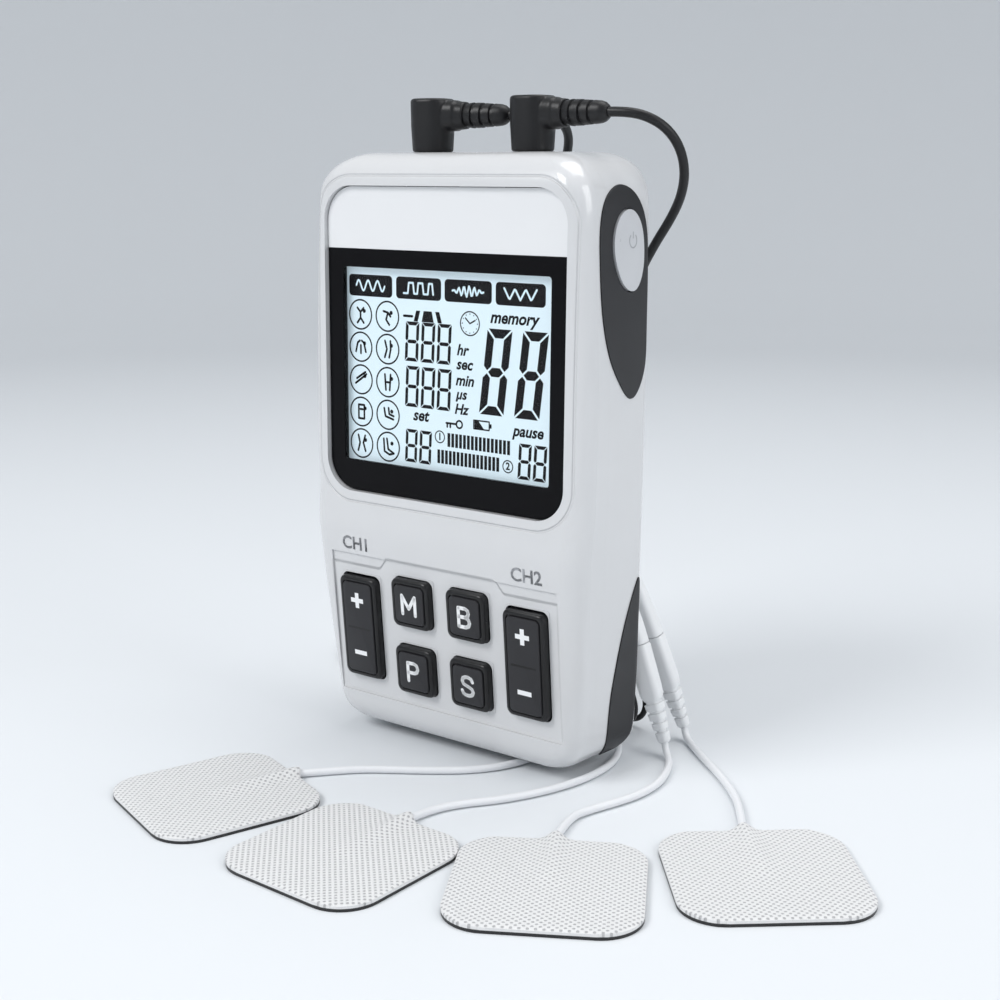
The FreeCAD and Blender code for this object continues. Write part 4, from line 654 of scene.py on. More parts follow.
# ------------------------------------------------------------------ display window
# An acrylic lens printed from behind: gloss black round the clear view, and white above.
# It is glued in a well of the front shell, and its edge stands a little proud.
def plate(name, loops, front, back, paint, place, body="unit", soften=0.0):
    """A flat piece with the given outline, and holes for any further loops."""
    form = bmesh.new()
    edges = []
    for loop in loops:
        ring = [form.verts.new((x, front, z)) for x, z in loop]
        edges += [form.edges.new((ring[i - 1], ring[i])) for i in range(len(ring))]
    bmesh.ops.triangle_fill(form, edges=edges, use_beauty=True, use_dissolve=False)
    skins = form.faces[:]
    deep = bmesh.ops.extrude_face_region(form, geom=skins)
    for vert in (g for g in deep["geom"] if isinstance(g, bmesh.types.BMVert)):
        vert.co.y = back
    bmesh.ops.recalc_face_normals(form, faces=form.faces)
    bmesh.ops.transform(form, matrix=place, verts=form.verts)
    piece = made(name, form, paint, body)
    if soften:
        edge = piece.modifiers.new("soften", "BEVEL")
        edge.width = soften
        edge.segments = 3
        edge.limit_method = "ANGLE"
        edge.angle_limit = math.radians(50)
    return piece


def moved(loop, x, z):
    """An outline shifted across and up."""
    return [(a + x, b + z) for a, b in loop]


LENS_LEAN, LENS_FOOT, LENS_THICK = math.radians(-0.8), 72 * MM, 1.15 * MM
lens_place = Matrix.Translation(at_unit((0, 0, LENS_FOOT))[0])
lens_place = lens_place @ Matrix.Rotation(LENS_LEAN, 4, "X")
LENS_LOW, LENS_TOP, PRINT_TOP = -7.5 * MM, 66.2 * MM, 51.6 * MM
LENS_HALF, LENS_CORNER = 35.3 * MM, 8 * MM
LENS_HALF_TALL, LENS_MIDDLE = (LENS_TOP - LENS_LOW) / 2, (LENS_TOP + LENS_LOW) / 2
lens = moved(rounded_loop(LENS_HALF, LENS_HALF_TALL, LENS_CORNER, 12), 0, LENS_MIDDLE)
ends = [(LENS_HALF, PRINT_TOP), (-LENS_HALF, PRINT_TOP)]
dark_loop = ends + [spot for spot in lens if spot[1] < PRINT_TOP]
pale_loop = [spot for spot in lens if spot[1] > PRINT_TOP] + [ends[1], ends[0]]
VIEW_HALF, VIEW_LOW, VIEW_TOP = 30.6 * MM, 0.0, 47.2 * MM
view_loop = moved(rounded_loop(VIEW_HALF, (VIEW_TOP - VIEW_LOW) / 2, 0.8 * MM, 4), 0,
                  (VIEW_TOP + VIEW_LOW) / 2)
gloss_black = finish("gloss_black_print", (0.006, 0.006, 0.007), 0.09, grain=2 * MM,
                     depth=0.0005 * MM, rough_drift=0.02, shine=0.06)
gloss_white = finish("gloss_white_print", (0.77, 0.775, 0.785), 0.14, grain=2 * MM,
                     depth=0.0005 * MM, drift=0.01, coat=0.6, rough_drift=0.03)
clear = bpy.data.materials.new("clear_view")
clear.use_nodes = True
skin = clear.node_tree.nodes["Principled BSDF"]
skin.inputs["Base Color"].default_value = (0.02, 0.02, 0.02, 1)
skin.inputs["Roughness"].default_value = 0.08
skin.inputs["Alpha"].default_value = 0.06
dark_print = plate("window_dark_print", [dark_loop, view_loop], 0, LENS_THICK, gloss_black,
                   lens_place, soften=0.2 * MM)
pale_print = plate("window_pale_print", [pale_loop], 0, LENS_THICK, gloss_white,
                   lens_place, soften=0.2 * MM)
clear_view = plate("window_clear_view", [view_loop], 0.1 * MM, 0.9 * MM, clear, lens_place)
for piece in (dark_print, pale_print, clear_view):
    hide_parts("display_window")

# ------------------------------------------------------------------ display segments
# The liquid crystal shows every segment at once, black on a pale lit ground: mode tabs,
# treatment pictures, timers, level bars and the large programme number.
GLASS_FACE = 2.25 * MM
GLASS_SHIFT = 1.3 * MM
ink, pale_ink = bmesh.new(), bmesh.new()


def on_glass(t, v):
    """A share of the view across and down, as a point of the glass."""
    return VIEW_HALF * (2 * t - 1) - GLASS_SHIFT, VIEW_TOP * (1 - v)


def ink_face(spots, form=ink, lift=0.0):
    form.faces.new([form.verts.new((x, GLASS_FACE - lift, z)) for x, z in spots])


def ink_dot(x, z, radius, form=ink, lift=0.0, steps=14):
    ink_face([(x + radius * math.cos(math.tau * i / steps),
               z + radius * math.sin(math.tau * i / steps)) for i in range(steps)], form, lift)


def ink_ring(x, z, radius, wide, form=ink, steps=32):
    for i in range(steps):
        a, b = math.tau * i / steps, math.tau * (i + 1) / steps
        ink_face([(x + r * math.cos(c), z + r * math.sin(c))
                  for r, c in ((radius, a), (radius, b), (radius - wide, b), (radius - wide, a))],
                 form)


def ink_line(spots, wide, form=ink, lift=0.0):
    """A line of even width through points given in millimetres."""
    for (ax, az), (bx, bz) in zip(spots, spots[1:]):
        long = math.hypot(bx - ax, bz - az)
        nx, nz = -(bz - az) / long * wide / 2, (bx - ax) / long * wide / 2
        ink_face([(ax + nx, az + nz), (bx + nx, bz + nz), (bx - nx, bz - nz),
                  (ax - nx, az - nz)], form, lift)
    for x, z in spots:
        ink_dot(x, z, wide / 2, form, lift, steps=8)


def figure_eight(t0, t1, v0, v1, thick, slant=0.12):
    """One digit with all seven of its segments, their ends cut at 45 degrees."""
    (left, top), (right, low) = on_glass(t0, v0), on_glass(t1, v1)
    right -= slant * (top - low)
    mid, gap, half = (top + low) / 2, thick * 0.16, thick / 2

    def leaned(spots):
        ink_face([(x + slant * (z - low), z) for x, z in spots])

    for z, kind in ((top, "top"), (mid, "mid"), (low, "low")):
        a, b = left + gap, right - gap
        if kind == "top":
            leaned([(a, z), (b, z), (b - thick, z - thick), (a + thick, z - thick)])
        elif kind == "low":
            leaned([(a, z), (a + thick, z + thick), (b - thick, z + thick), (b, z)])
        else:
            leaned([(a + half, z), (a + thick, z + half), (b - thick, z + half),
                    (b - half, z), (b - thick, z - half), (a + thick, z - half)])
    for x, way in ((left, 1), (right, -1)):
        for end, inner in ((top, mid), (low, mid)):
            up = 1 if end > inner else -1
            leaned([(x, end - up * gap), (x + way * thick, end - up * (gap + thick)),
                    (x + way * thick, inner + up * (gap + half)), (x + way * half, inner + up * gap),
                    (x, inner + up * (gap + half))])


def figures(count, t0, t1, v0, v1, thick, share=0.86, slant=0.12):
    step = (t1 - t0) / count
    for i in range(count):
        figure_eight(t0 + i * step, t0 + (i + share) * step, v0, v1, thick, slant)


for index, (t0, t1) in enumerate(((0.02, 0.244), (0.264, 0.488), (0.505, 0.729), (0.747, 0.973))):
    (left, top), (right, low) = on_glass(t0, 0.04), on_glass(t1, 0.15)
    x, z = (left + right) / 2, (top + low) / 2
    ink_face(moved(rounded_loop((right - left) / 2, (top - low) / 2, 1.0 * MM, 5), x, z))
    wave = []
    for i in range(29):
        p = i / 28
        rise = (math.sin(p * math.tau * 3), 1 if int(p * 6) % 2 else -1,
                math.sin(p * math.tau * 6) * math.sin(p * math.pi),
                2 * abs(2 * ((p * 3) % 1) - 1) - 1)[index]
        wave.append((x + (p - 0.5) * 9 * MM, z + rise * 1.25 * MM))
    ink_line(wave, 0.5 * MM, pale_ink, lift=0.03 * MM)
limbs = [
    [[(-1, 1.6), (0, 0.6), (1, 1.6)], [(0, 0.6), (0, -0.8)], [(-1, -2), (0, -0.8), (1, -2)]],
    [[(-1.2, 1.2), (0.2, 0.9), (1, 0)], [(0.2, 0.9), (-0.4, -0.8), (0.6, -2)]],
    [[(-1.6, -1.2), (-1, 1), (-0.3, 1.5)], [(1.6, -1.2), (1, 1), (0.3, 1.5)], [(0, 0.4), (0, -1.6)]],
    [[(-0.8, 2), (-0.2, 0), (-0.9, -2)], [(0.9, 2), (1, 0), (0.5, -2)]],
    [[(-1.8, -1), (0, 0.2), (1.7, 1.4)], [(-1.4, 0.2), (0.2, 1.2), (1.4, 1.9)]],
    [[(-0.9, 1.9), (-0.6, -1.9)], [(0.9, 1.9), (0.6, -1.9)], [(-0.8, 0), (0.8, 0)]],
    [[(-0.9, 1.7), (0.9, 1.7), (0.9, -1.7), (-0.9, -1.7), (-0.9, 1.7)], [(-0.4, 0.6), (0.4, 0.6)]],
    [[(-1.2, 1.6), (-0.8, -0.4), (1.7, -1)], [(0.2, 1.7), (0.4, 0.2), (1.8, -0.2)]],
    [[(-1.1, 2), (-0.6, 0.1), (-1.2, -1.9)], [(1.1, 2), (0.5, 0.1), (1.2, -1.9)]],
    [[(-0.4, 2), (0, -0.6), (1.8, -1.5)], [(-1.4, 1.9), (-1.2, -1.2), (0.4, -1.9), (1.8, -1.5)]],
]
for index, lines in enumerate(limbs):
    x, z = on_glass((0.078, 0.218)[index % 2], (0.245, 0.412, 0.582, 0.751, 0.918)[index // 2])
    ink_ring(x, z, 3.75 * MM, 0.4 * MM)
    for line in lines:
        ink_line([(x + a * MM, z + b * MM) for a, b in line], 0.55 * MM)
    ink_dot(x + 1.2 * MM, z + 0.9 * MM, 0.5 * MM)
ink_line([on_glass(0.303, 0.235), on_glass(0.345, 0.235)], 0.6 * MM)
for t0, t1, s0, s1 in ((0.352, 0.372, 0.365, 0.385), (0.392, 0.452, 0.402, 0.442),
                       (0.472, 0.492, 0.459, 0.479)):
    ink_face([on_glass(t0, 0.26), on_glass(t1, 0.26), on_glass(s1, 0.205), on_glass(s0, 0.205)])
figures(3, 0.306, 0.545, 0.262, 0.462, 0.85 * MM, share=0.94, slant=0.05)
figures(3, 0.306, 0.545, 0.486, 0.694, 0.85 * MM, share=0.94, slant=0.05)
figures(2, 0.672, 1.0, 0.266, 0.689, 2.1 * MM, share=0.94)
figures(2, 0.305, 0.448, 0.81, 0.98, 0.8 * MM, share=0.93, slant=0.05)
figures(2, 0.855, 0.995, 0.81, 0.986, 0.8 * MM, share=0.93, slant=0.05)
x, z = on_glass(0.627, 0.25)
ink_ring(x, z, 2.9 * MM, 0.3 * MM)
ink_line([(x - 1.3 * MM, z + 1.2 * MM), (x, z), (x + 1.5 * MM, z + 0.8 * MM)], 0.35 * MM)
for i in range(12):
    turn = math.tau * i / 12
    ink_dot(x + 2.2 * MM * math.cos(turn), z + 2.2 * MM * math.sin(turn), 0.16 * MM, steps=6)
x, z = on_glass(0.545, 0.755)
ink_ring(x + 2.0 * MM, z, 1.1 * MM, 0.45 * MM)
ink_line([(x - 1.9 * MM, z), (x + 0.9 * MM, z)], 0.5 * MM)
ink_line([(x - 1.6 * MM, z), (x - 1.6 * MM, z - 0.9 * MM)], 0.5 * MM)
ink_line([(x - 0.7 * MM, z), (x - 0.7 * MM, z - 0.9 * MM)], 0.5 * MM)
x, z = on_glass(0.69, 0.745)
ink_line([(x - 2.6 * MM, z + 1 * MM), (x + 1.9 * MM, z + 1 * MM), (x + 1.9 * MM, z - 1 * MM),
          (x - 2.6 * MM, z - 1 * MM), (x - 2.6 * MM, z + 1 * MM)], 0.35 * MM)
ink_face([(x + 2 * MM, z + 0.5 * MM), (x + 2.6 * MM, z + 0.5 * MM), (x + 2.6 * MM, z - 0.5 * MM),
          (x + 2 * MM, z - 0.5 * MM)])
ink_face([(x - 2.4 * MM, z + 0.9 * MM), (x - 1.2 * MM, z + 0.9 * MM), (x + 0.4 * MM, z - 0.9 * MM),
          (x - 2.4 * MM, z - 0.9 * MM)])
for t0, t1, v in ((0.52, 0.825, 0.84), (0.47, 0.775, 0.93)):
    for i in range(16):
        left = t0 + (t1 - t0) * i / 16
        ink_face([on_glass(left, v - 0.035), on_glass(left + 0.0135, v - 0.035),
                  on_glass(left + 0.0135, v + 0.035), on_glass(left, v + 0.035)])
for t, v in ((0.482, 0.83), (0.81, 0.933)):
    x, z = on_glass(t, v)
    ink_ring(x, z, 1.55 * MM, 0.28 * MM)


def words_mesh(words, tall, place, bold=0.03, slant=0.0, thick=0.0, fine=5):
    """A mesh of the words, centred on a place and facing its -Y side."""
    curve = bpy.data.curves.new("words", "FONT")
    curve.body = words
    curve.size = tall
    curve.align_x = "CENTER"
    curve.align_y = "CENTER"
    curve.shear = slant
    curve.offset = tall * bold
    curve.extrude = thick
    curve.resolution_u = fine
    loose = bpy.data.objects.new("words", curve)
    mesh = bpy.data.meshes.new_from_object(loose)
    mesh.transform(place @ Matrix.Rotation(math.pi / 2, 4, "X"))
    bpy.data.objects.remove(loose)
    bpy.data.curves.remove(curve)
    return mesh


def small_print(words, tall, t, v, slant=0.25):
    """Plain printed legends on the glass, with their middle at a share of the view."""
    x, z = on_glass(t, v)
    mesh = words_mesh(words, tall, Matrix.Translation((x, GLASS_FACE, z)), slant=slant, fine=3)
    ink.from_mesh(mesh)
    bpy.data.meshes.remove(mesh)


for words, tall, t, v in (("hr", 3.6, 0.590, 0.385), ("sec", 3.6, 0.600, 0.455),
                          ("min", 3.6, 0.602, 0.535), ("µs", 3.4, 0.585, 0.605),
                          ("Hz", 3.4, 0.585, 0.68), ("memory", 3.9, 0.83, 0.212),
                          ("set", 3.9, 0.385, 0.735), ("pause", 3.7, 0.90, 0.752)):
    small_print(words, tall * MM, t, v)
small_print("1", 2.4 * MM, 0.482, 0.83, slant=0)
small_print("2", 2.4 * MM, 0.81, 0.933, slant=0)
bmesh.ops.transform(ink, matrix=lens_place, verts=ink.verts)
bmesh.ops.transform(pale_ink, matrix=lens_place, verts=pale_ink.verts)
ink_black = finish("segment_black", (0.004, 0.004, 0.006), 0.5, shine=0.2)
GROUND = (0.66, 0.78, 0.84)


def lit(paint):
    """Gives a finish the faint even glow of the lit display."""
    skin = paint.node_tree.nodes["Principled BSDF"]
    skin.inputs["Emission Color"].default_value = (0.70, 0.86, 0.95, 1)
    skin.inputs["Emission Strength"].default_value = 0.35


pale_glow = bpy.data.materials.new("pale_ground")
pale_glow.use_nodes = True
skin = pale_glow.node_tree.nodes["Principled BSDF"]
skin.inputs["Base Color"].default_value = (*GROUND, 1)
skin.inputs["Roughness"].default_value = 0.35
lit(pale_glow)
segments = made("lcd_segments", ink, ink_black)
glyphs = made("lcd_mode_glyphs", pale_ink, pale_glow)
for piece in (segments, glyphs):
    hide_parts("lcd_panel")

# ------------------------------------------------------------------ display panel
# The liquid crystal's own glass, over a light guide. Both sit in the well behind the lens,
# pressed on two rubber contact strips that join the glass to the board.
lit_ground = finish("lit_ground", GROUND, 0.3, grain=2 * MM, depth=0.001 * MM, drift=0.01)
lit(lit_ground)
glass_half, glass_low, glass_top = 31.4 * MM, -0.8 * MM, 48.0 * MM
glass_loop = moved(rounded_loop(glass_half, (glass_top - glass_low) / 2, 0.6 * MM, 3), 0,
                   (glass_top + glass_low) / 2)
glass = plate("lcd_glass", [glass_loop], GLASS_FACE + 0.02 * MM, GLASS_FACE + 1.4 * MM,
              lit_ground, lens_place)
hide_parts("lcd_panel")

# ------------------------------------------------------------------ keys
# Four square keys moulded in charcoal plastic: a sloping rim painted near-black as its shade, a fine
# groove and a raised flat top with a white letter. Each stands on a round stem over its own switch.
KEYPAD_LEAN, KEYPAD_FACE, KEYPAD_TOP = math.radians(4.5), -1.9 * MM, 50 * MM
# The rims are the same charcoal plastic as the tops, painted near-black as the shade on their
# slopes; the hidden stems and bosses share this dark copy.
key_shaded_dark = finish("key_shaded_dark", (0.006, 0.006, 0.007), 0.30, grain=0.35 * MM, depth=0.006 * MM,
                  shine=0.4)
key_grey = finish("key_grey", (0.022, 0.022, 0.025), 0.42, grain=0.3 * MM, depth=0.008 * MM,
                  shine=0.35)
legend_white = finish("legend_white", (0.86, 0.87, 0.88), 0.45, drift=0.01)
legend_grey = finish("legend_grey", (0.34, 0.35, 0.37), 0.45, drift=0.01)


def keypad_place(x, z):
    """A place on the keypad's leaning face, with -Y out of it."""
    y = KEYPAD_FACE + (KEYPAD_TOP - z) * math.tan(KEYPAD_LEAN)
    return Matrix.Translation(at_unit((x, y, z))[0]) @ Matrix.Rotation(KEYPAD_LEAN, 4, "X")


def lettering(name, words, tall, place, paint, body, bold=0.03):
    """A printed legend, 0.05 mm thick, on the -Y side of a place."""
    mesh = words_mesh(words, tall, place, bold, thick=0.025 * MM)
    mesh.name = name
    mesh.materials.clear()
    mesh.materials.append(paint)
    piece = bpy.data.objects.new(name, mesh)
    bpy.context.scene.collection.objects.link(piece)
    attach(piece, body)
    return piece


KEY_HALF, KEY_TALL, KEY_PROUD = 5.8 * MM, 6.15 * MM, 1.8 * MM


# Each row is (along, how far past the outline, corner), in millimetres.
KEY_SKIRT = [(3.2, 0.7, 1.6), (2.45, 0.7, 1.6), (2.4, 0, 1.7)]
ROCKER_SKIRT = [(3.0, 0, 1.7)]
CAP_RIM = [(-0.85, 0, 1.7), (-1.15, -0.12, 1.7), (-1.35, -0.4, 1.6), (-1.45, -0.75, 1.5),
           (-1.42, -1.0, 1.4), (-1.0, -1.1, 1.3)]
CAP_TOP = [(-0.9, -1.3, 1.2), (-1.55, -1.3, 1.2), (-1.72, -1.4, 1.15), (-1.8, -1.65, 1.0)]


def key_cap(name, half_wide, half_tall, skirt, place, body):
    """A key's rim with its groove, painted near-black as the shade on its slope, and its raised
    charcoal top.
    """
    caps = []
    for part, rows, paint in (("rim", skirt + CAP_RIM, key_shaded_dark), ("top", CAP_TOP, key_grey)):
        sections = [(along, half_wide + past, half_tall + past, corner)
                    for along, past, corner in metres(rows)]
        caps.append(stacked(f"{name}_{part}", sections, place, paint, body))
    return caps


PRINT_LIFT, LETTER_LIFT = 0.012 * MM, 0.04 * MM
KEY_COLUMN, KEY_ROWS, ROCKER_COLUMN = 8.5, (38.5, 21.0), 25.4
STEM_ROUND, SWITCH_FACE = 2.0 * MM, 7.0 * MM
LETTER_HALF = 2.35 * MM
LETTERS = {
    "M": [[(-0.85, -1), (-0.85, 1), (0, -0.35), (0.85, 1), (0.85, -1)]],
    "B": [[(-0.65, -1), (-0.65, 1), (0.2, 1), (0.52, 0.86), (0.62, 0.52), (0.5, 0.2), (0.2, 0.06),
           (-0.65, 0.06)],
          [(0.2, 0.06), (0.58, -0.1), (0.72, -0.46), (0.58, -0.84), (0.2, -1), (-0.65, -1)]],
    "P": [[(-0.65, -1), (-0.65, 1), (0.2, 1), (0.54, 0.86), (0.68, 0.48), (0.54, 0.1),
           (0.2, -0.06), (-0.65, -0.06)]],
    "S": [[(0.66, 0.56), (0.5, 0.86), (0.16, 1), (-0.2, 1), (-0.54, 0.84), (-0.64, 0.52),
           (-0.5, 0.2), (-0.16, 0.06), (0.22, -0.06), (0.56, -0.22), (0.7, -0.52),
           (0.56, -0.86), (0.2, -1), (-0.2, -1), (-0.56, -0.86), (-0.7, -0.54)]],
}
for letter, side, row in (("M", -1, KEY_ROWS[0]), ("B", 1, KEY_ROWS[0]),
                          ("P", -1, KEY_ROWS[1]), ("S", 1, KEY_ROWS[1])):
    place, body = keypad_place(side * KEY_COLUMN * MM, row * MM), f"key_{letter.lower()}"
    pieces = key_cap(body, KEY_HALF, KEY_TALL, KEY_SKIRT, place, body)
    stem_end = (unit.y + SWITCH_FACE - place.translation.y) / math.cos(KEYPAD_LEAN)
    pieces.append(stacked(body + "_stem", [
        (3.1 * MM, STEM_ROUND, STEM_ROUND, STEM_ROUND),
        (stem_end, STEM_ROUND, STEM_ROUND, STEM_ROUND)], place, key_shaded_dark, body))
    face = place @ Matrix.Translation((0, -KEY_PROUD + PRINT_LIFT, 0))
    form = bmesh.new()
    # Ink is drawn at the depth of the glass, so it is lifted from there to the key's top.
    for line in LETTERS[letter]:
        ink_line([(x * LETTER_HALF, z * LETTER_HALF) for x, z in line], 0.95 * MM, form,
                 lift=GLASS_FACE + LETTER_LIFT)
    bmesh.ops.transform(form, matrix=face, verts=form.verts)
    pieces.append(made(body + "_letter", form, legend_white, body))
    for piece in pieces:
        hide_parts(body)

# ------------------------------------------------------------------ channel rockers
# Two long rockers, one for each channel, of the same plastic as the keys. A short groove runs
# across the middle of each, painted as a thin near-black strip of shade laid on the top, with a
# plus above it and a minus below.
ROCKER_HALF, ROCKER_TALL, ROCKER_ROW = 5.9 * MM, 13.25 * MM, 29.5 * MM
BOSS_FRONT, BOSS_BACK, BOSS_HALF, BOSS_TALL = 2.9 * MM, 5.0 * MM, 5.8 * MM, 2.3 * MM
PLUNGER_ROUND, PLUNGER_OUT, SIGN_OUT = 1.6 * MM, 9 * MM, 7.0 * MM
for channel, column in (("ch1", -ROCKER_COLUMN), ("ch2", ROCKER_COLUMN)):
    node, body = f"rocker_{channel}", f"rocker_{channel[-1]}"
    place = keypad_place(column * MM, ROCKER_ROW)
    pieces = key_cap(node, ROCKER_HALF, ROCKER_TALL, ROCKER_SKIRT, place, body)
    pieces.append(stacked(node + "_boss", [
        (BOSS_FRONT, BOSS_HALF, BOSS_TALL, 0.5 * MM),
        (BOSS_BACK, BOSS_HALF, BOSS_TALL, 0.5 * MM)], place, key_shaded_dark, body))
    for way in (-1, 1):
        at = place @ Matrix.Translation((0, 0, way * PLUNGER_OUT))
        stem_end = (unit.y + SWITCH_FACE - at.translation.y) / math.cos(KEYPAD_LEAN)
        pieces.append(stacked(f"{node}_stem_{way + 2}", [
            (BOSS_FRONT, PLUNGER_ROUND, PLUNGER_ROUND, PLUNGER_ROUND),
            (stem_end, PLUNGER_ROUND, PLUNGER_ROUND, PLUNGER_ROUND)], at, key_shaded_dark, body))
        sign = "+" if way > 0 else "−"
        face = place @ Matrix.Translation((0, -KEY_PROUD + PRINT_LIFT, way * SIGN_OUT))
        pieces.append(lettering(f"{node}_sign_{way + 2}", sign, 7.2 * MM, face, legend_white,
                                body, 0.04))
    # The groove is not cut into the top: a thin strip of the near-black key plastic laid on it
    # paints the groove's shade.
    groove_shade_strip = plate(node + "_groove", [rounded_loop(3.6 * MM, 0.28 * MM, 0.25 * MM, 3)],
                   -KEY_PROUD - PRINT_LIFT, -KEY_PROUD + 0.05 * MM, key_shaded_dark, place, body)
    for piece in [*pieces, groove_shade_strip]:
        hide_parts(node)

# ------------------------------------------------------------------ shells
# Two deep ABS halves sprayed in pearl white under clear lacquer. Fine creases run round the
# lens and over the keypad, and the halves meet in a thin shadow line at mid depth.
pearl = finish("pearl_white", (0.64, 0.645, 0.655), 0.24, grain=0.9 * MM, depth=0.002 * MM,
               drift=0.015, coat=0.7, rough_drift=0.03)


def round_frame(nodes, links, x, z, centre, half_wide, half_tall, corner):
    """Distance outside a rounded rectangle in the X and Z of a material."""
    across = maths(nodes, links, "ABSOLUTE", maths(nodes, links, "SUBTRACT", x, centre[0]))
    up = maths(nodes, links, "ABSOLUTE", maths(nodes, links, "SUBTRACT", z, centre[1]))
    a = maths(nodes, links, "SUBTRACT", across, half_wide - corner)
    b = maths(nodes, links, "SUBTRACT", up, half_tall - corner)
    a_out, b_out = (maths(nodes, links, "MAXIMUM", v, 0.0) for v in (a, b))
    reach = maths(nodes, links, "SQRT", maths(
        nodes, links, "ADD", maths(nodes, links, "MULTIPLY", a_out, a_out),
        maths(nodes, links, "MULTIPLY", b_out, b_out)))
    inside = maths(nodes, links, "MINIMUM", maths(nodes, links, "MAXIMUM", a, b), 0.0)
    return maths(nodes, links, "SUBTRACT", maths(nodes, links, "ADD", reach, inside), corner)


def line_at(nodes, links, distance, where, wide):
    """One on a line at a distance, falling to nothing on both sides of it."""
    off = maths(nodes, links, "ABSOLUTE", maths(nodes, links, "SUBTRACT", distance, where))
    return ranged(nodes, links, off, wide, 0.0, smooth=True)


nodes, links = pearl.node_tree.nodes, pearl.node_tree.links
spot = nodes.new("ShaderNodeNewGeometry")
parts = nodes.new("ShaderNodeSeparateXYZ")
links.new(spot.outputs["Position"], parts.inputs["Vector"])
across, deep, up = (parts.outputs[axis] for axis in "XYZ")
# The crease over the keypad runs lower at both shoulders than in the middle.
KEYPAD_MIDDLE, KEYPAD_HALF, KEYPAD_HALF_TALL, KEYPAD_CORNER = 30 * MM, 34.2 * MM, 40 * MM, 4 * MM
KEYPAD_FOOT, SHOULDER_IN, SHOULDER_OUT = 11.5 * MM, 16 * MM, 19.5 * MM
CREST_HIGH, SHOULDER_HIGH, FRONT_DEEP = 48.6 * MM, 45.6 * MM, 9 * MM
CREASE_OUT, CREASE_WIDE, STEP_HALF = 2.6 * MM, 0.45 * MM, 0.5 * MM
lens_out = round_frame(nodes, links, across, up, (unit.x, LENS_FOOT + LENS_MIDDLE), LENS_HALF,
                       LENS_HALF_TALL, LENS_CORNER)
side_in = maths(nodes, links, "ABSOLUTE", maths(nodes, links, "SUBTRACT", across, unit.x))
shoulder = ranged(nodes, links, side_in, SHOULDER_IN, SHOULDER_OUT, CREST_HIGH, SHOULDER_HIGH,
                  smooth=True)
pad_top = maths(nodes, links, "SUBTRACT", up, shoulder)
pad_frame = round_frame(nodes, links, across, up, (unit.x, KEYPAD_MIDDLE), KEYPAD_HALF,
                        KEYPAD_HALF_TALL, KEYPAD_CORNER)
keypad_out = maths(nodes, links, "MAXIMUM", pad_top, pad_frame)
keypad_out = maths(nodes, links, "MAXIMUM", keypad_out, maths(
    nodes, links, "SUBTRACT", KEYPAD_FOOT, up))
front = maths(nodes, links, "LESS_THAN", deep, unit.y + FRONT_DEEP)
crease = line_at(nodes, links, lens_out, CREASE_OUT, CREASE_WIDE)
step_in = ranged(nodes, links, keypad_out, -STEP_HALF, STEP_HALF, smooth=True)
relief = maths(nodes, links, "SUBTRACT", maths(
    nodes, links, "MULTIPLY", step_in, front), maths(
    nodes, links, "MULTIPLY", crease, maths(nodes, links, "MULTIPLY", front, 0.6)))
folds = nodes.new("ShaderNodeBump")
folds.inputs["Distance"].default_value = 0.45 * MM
links.new(relief, folds.inputs["Height"])
grain = next(n for n in nodes if n.bl_idname == "ShaderNodeBump" and n != folds)
links.new(grain.outputs["Normal"], folds.inputs["Normal"])
links.new(folds.outputs["Normal"], nodes["Principled BSDF"].inputs["Normal"])


def dress(paint, *names):
    """Puts one finish on CAD nodes that are shown as they are."""
    for name in names:
        mesh = bpy.data.objects[name].data
        mesh.materials.clear()
        mesh.materials.append(paint)


dress(pearl, "front_shell", "rear_shell", "battery_door")
LEGEND_ROW = 51.2 * MM
for channel, column in (("ch1", -26.0), ("ch2", 26.0)):
    place = keypad_place(column * MM, LEGEND_ROW) @ Matrix.Translation((0, -2 * MM, 0))
    mark = lettering(f"legend_{channel}", channel.upper(), 4.6 * MM, place, legend_grey, "unit",
                     0.02)
    wrap = mark.modifiers.new("wrap", "SHRINKWRAP")
    wrap.target = bpy.data.objects["front_shell"]
    wrap.wrap_method = "PROJECT"
    wrap.use_project_y = True
    wrap.offset = 0.04 * MM

# A narrow moulded collar rounds off the corners of each key's opening.
RECESS_DEEP, COLLAR_OVER, COLLAR_IN = 0.5 * MM, 0.55 * MM, 0.22 * MM
openings = [(x * MM, z * MM, KEY_HALF, KEY_TALL)
            for x in (-KEY_COLUMN, KEY_COLUMN) for z in KEY_ROWS]
openings += [(x * MM, ROCKER_ROW, ROCKER_HALF, ROCKER_TALL + 0.3 * MM)
             for x in (-ROCKER_COLUMN, ROCKER_COLUMN)]
for index, (x, z, half_wide, half_tall) in enumerate(openings):
    outside = rounded_loop(half_wide + COLLAR_OVER, half_tall + COLLAR_OVER, 0.7 * MM, 8)
    inside = rounded_loop(half_wide + COLLAR_IN, half_tall + COLLAR_IN, 1.85 * MM, 8)
    collar = plate(f"key_collar_{index + 1}", [outside, inside], RECESS_DEEP - 0.12 * MM,
                   RECESS_DEEP + 0.5 * MM, pearl, keypad_place(x, z))

# ------------------------------------------------------------------ grips
# Charcoal grips moulded over each side in a softer plastic, satin and finely grained: a
# long one beside the display and a leaf beside the keypad. Their edges are almost black.
grip_paint = finish("grip_charcoal", (0.016, 0.016, 0.018), 0.46, grain=0.22 * MM,
                    depth=0.012 * MM, shine=0.4)
dress(grip_paint, "grip_upper_left", "grip_upper_right", "grip_lower_left",
      "grip_lower_right")

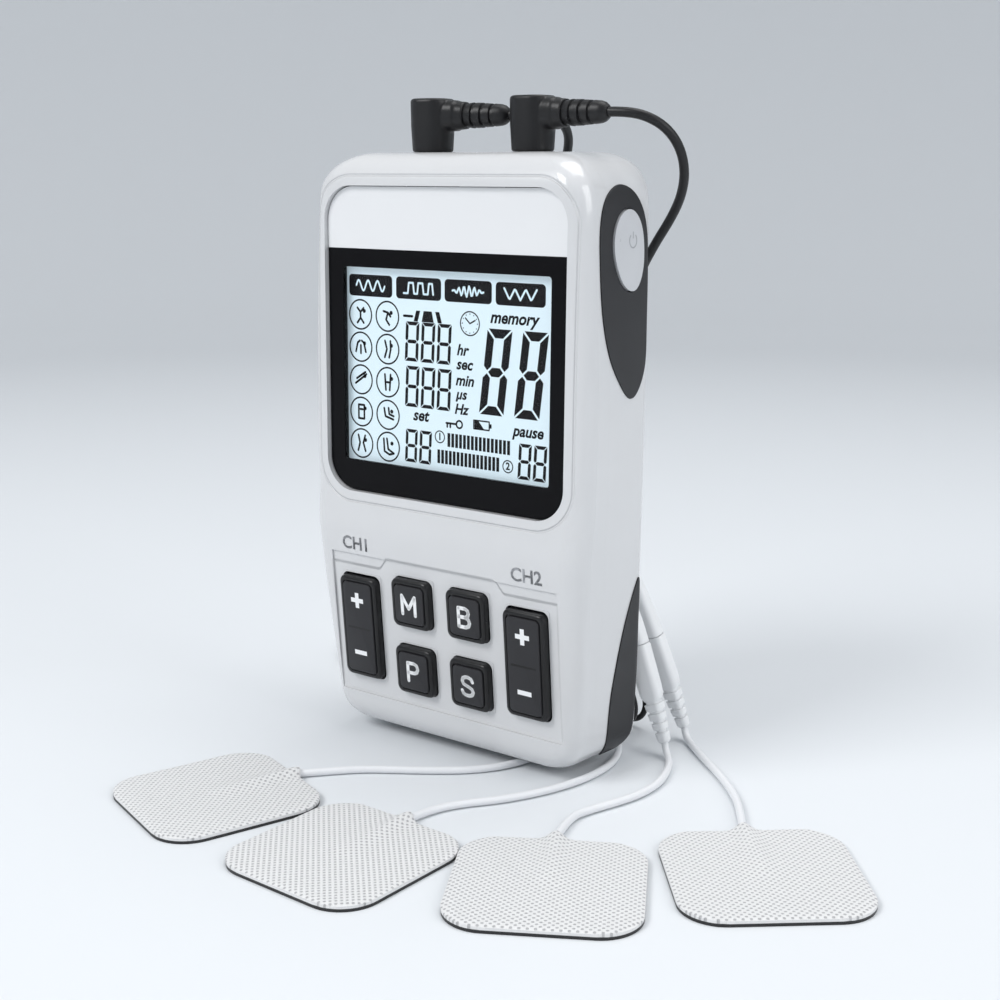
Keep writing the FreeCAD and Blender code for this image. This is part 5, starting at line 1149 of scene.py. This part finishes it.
# ------------------------------------------------------------------ power button
# A light grey oval key in the upper right grip, slightly crowned, with a power sign: a
# broken ring and a short bar, printed near its rear.
button_grey = finish("button_grey", (0.56, 0.57, 0.59), 0.3, grain=0.8 * MM,
                     depth=0.003 * MM, coat=0.4)
dress(button_grey, "power_button")
low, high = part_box("power_button")
form = bmesh.new()
SIGN_ROUND, SIGN_WIDE = 1.55 * MM, 0.32 * MM
spots = []
for i in range(25):
    turn = math.radians(90 + 38 + (360 - 76) * i / 24)
    spots.append((SIGN_ROUND * math.cos(turn), SIGN_ROUND * math.sin(turn)))
for line in (spots, [(0, 0.5 * MM), (0, 2.0 * MM)]):
    for (ax, az), (bx, bz) in zip(line, line[1:]):
        long = math.hypot(bx - ax, bz - az)
        nx, nz = -(bz - az) / long * SIGN_WIDE / 2, (bx - ax) / long * SIGN_WIDE / 2
        form.faces.new([form.verts.new((0, y, z)) for y, z in (
            (ax + nx, az + nz), (bx + nx, bz + nz), (bx - nx, bz - nz), (ax - nx, az - nz))])
sign_heart = at_unit((0, 18.4 * MM, 126.6 * MM))[0]
bmesh.ops.translate(form, verts=form.verts, vec=(high.x + 2 * MM, sign_heart.y, sign_heart.z))
sign = made("power_sign", form, legend_grey, "power_key")
wrap = sign.modifiers.new("wrap", "SHRINKWRAP")
wrap.target = bpy.data.objects["power_button"]
wrap.wrap_method = "PROJECT"
wrap.use_project_x = True
wrap.use_positive_direction = False
wrap.use_negative_direction = True
wrap.offset = 0.03 * MM

# ------------------------------------------------------------------ inner works
# Cells, contacts, board and its parts, seen only when the case is opened. Each has the
# finish of the real thing: tinned steel, green laminate, black moulding, blue sleeves.
steel = finish("bright_steel", (0.62, 0.62, 0.61), 0.26, grain=0.2 * MM, depth=0.004 * MM,
               metal=1.0)
nickel = finish("nickel_plate", (0.70, 0.68, 0.63), 0.18, grain=0.3 * MM, depth=0.002 * MM,
                metal=1.0)
dress(steel, "battery_contacts", "battery_springs", "case_screws", "rocker_pins")
dress(nickel, "plug_tips", "contact_pins")
dress(finish("cell_wrap", (0.05, 0.12, 0.28), 0.3, grain=1 * MM, depth=0.003 * MM),
      "battery_cells")
dress(finish("tray_black", (0.03, 0.03, 0.032), 0.55), "battery_tray", "key_frame")
dress(finish("board_green", (0.02, 0.13, 0.06), 0.38, grain=0.15 * MM, depth=0.006 * MM),
      "main_board")
dress(finish("moulded_black", (0.015, 0.015, 0.016), 0.5), "board_chips", "buzzer",
      "output_jack_ch1", "output_jack_ch2", "power_switch", "tact_switches")
dress(finish("winding_tape", (0.55, 0.38, 0.05), 0.45), "pulse_transformers")
dress(finish("sleeve_blue", (0.02, 0.05, 0.22), 0.3), "filter_capacitors")
dress(finish("strip_pink", (0.62, 0.30, 0.28), 0.6), "contact_strips")
dress(finish("guide_clear", (0.82, 0.86, 0.88), 0.15), "lcd_backlight")
dress(finish("gel_black", (0.012, 0.012, 0.013), 0.35, grain=0.5 * MM, depth=0.01 * MM),
      "gel_layers")
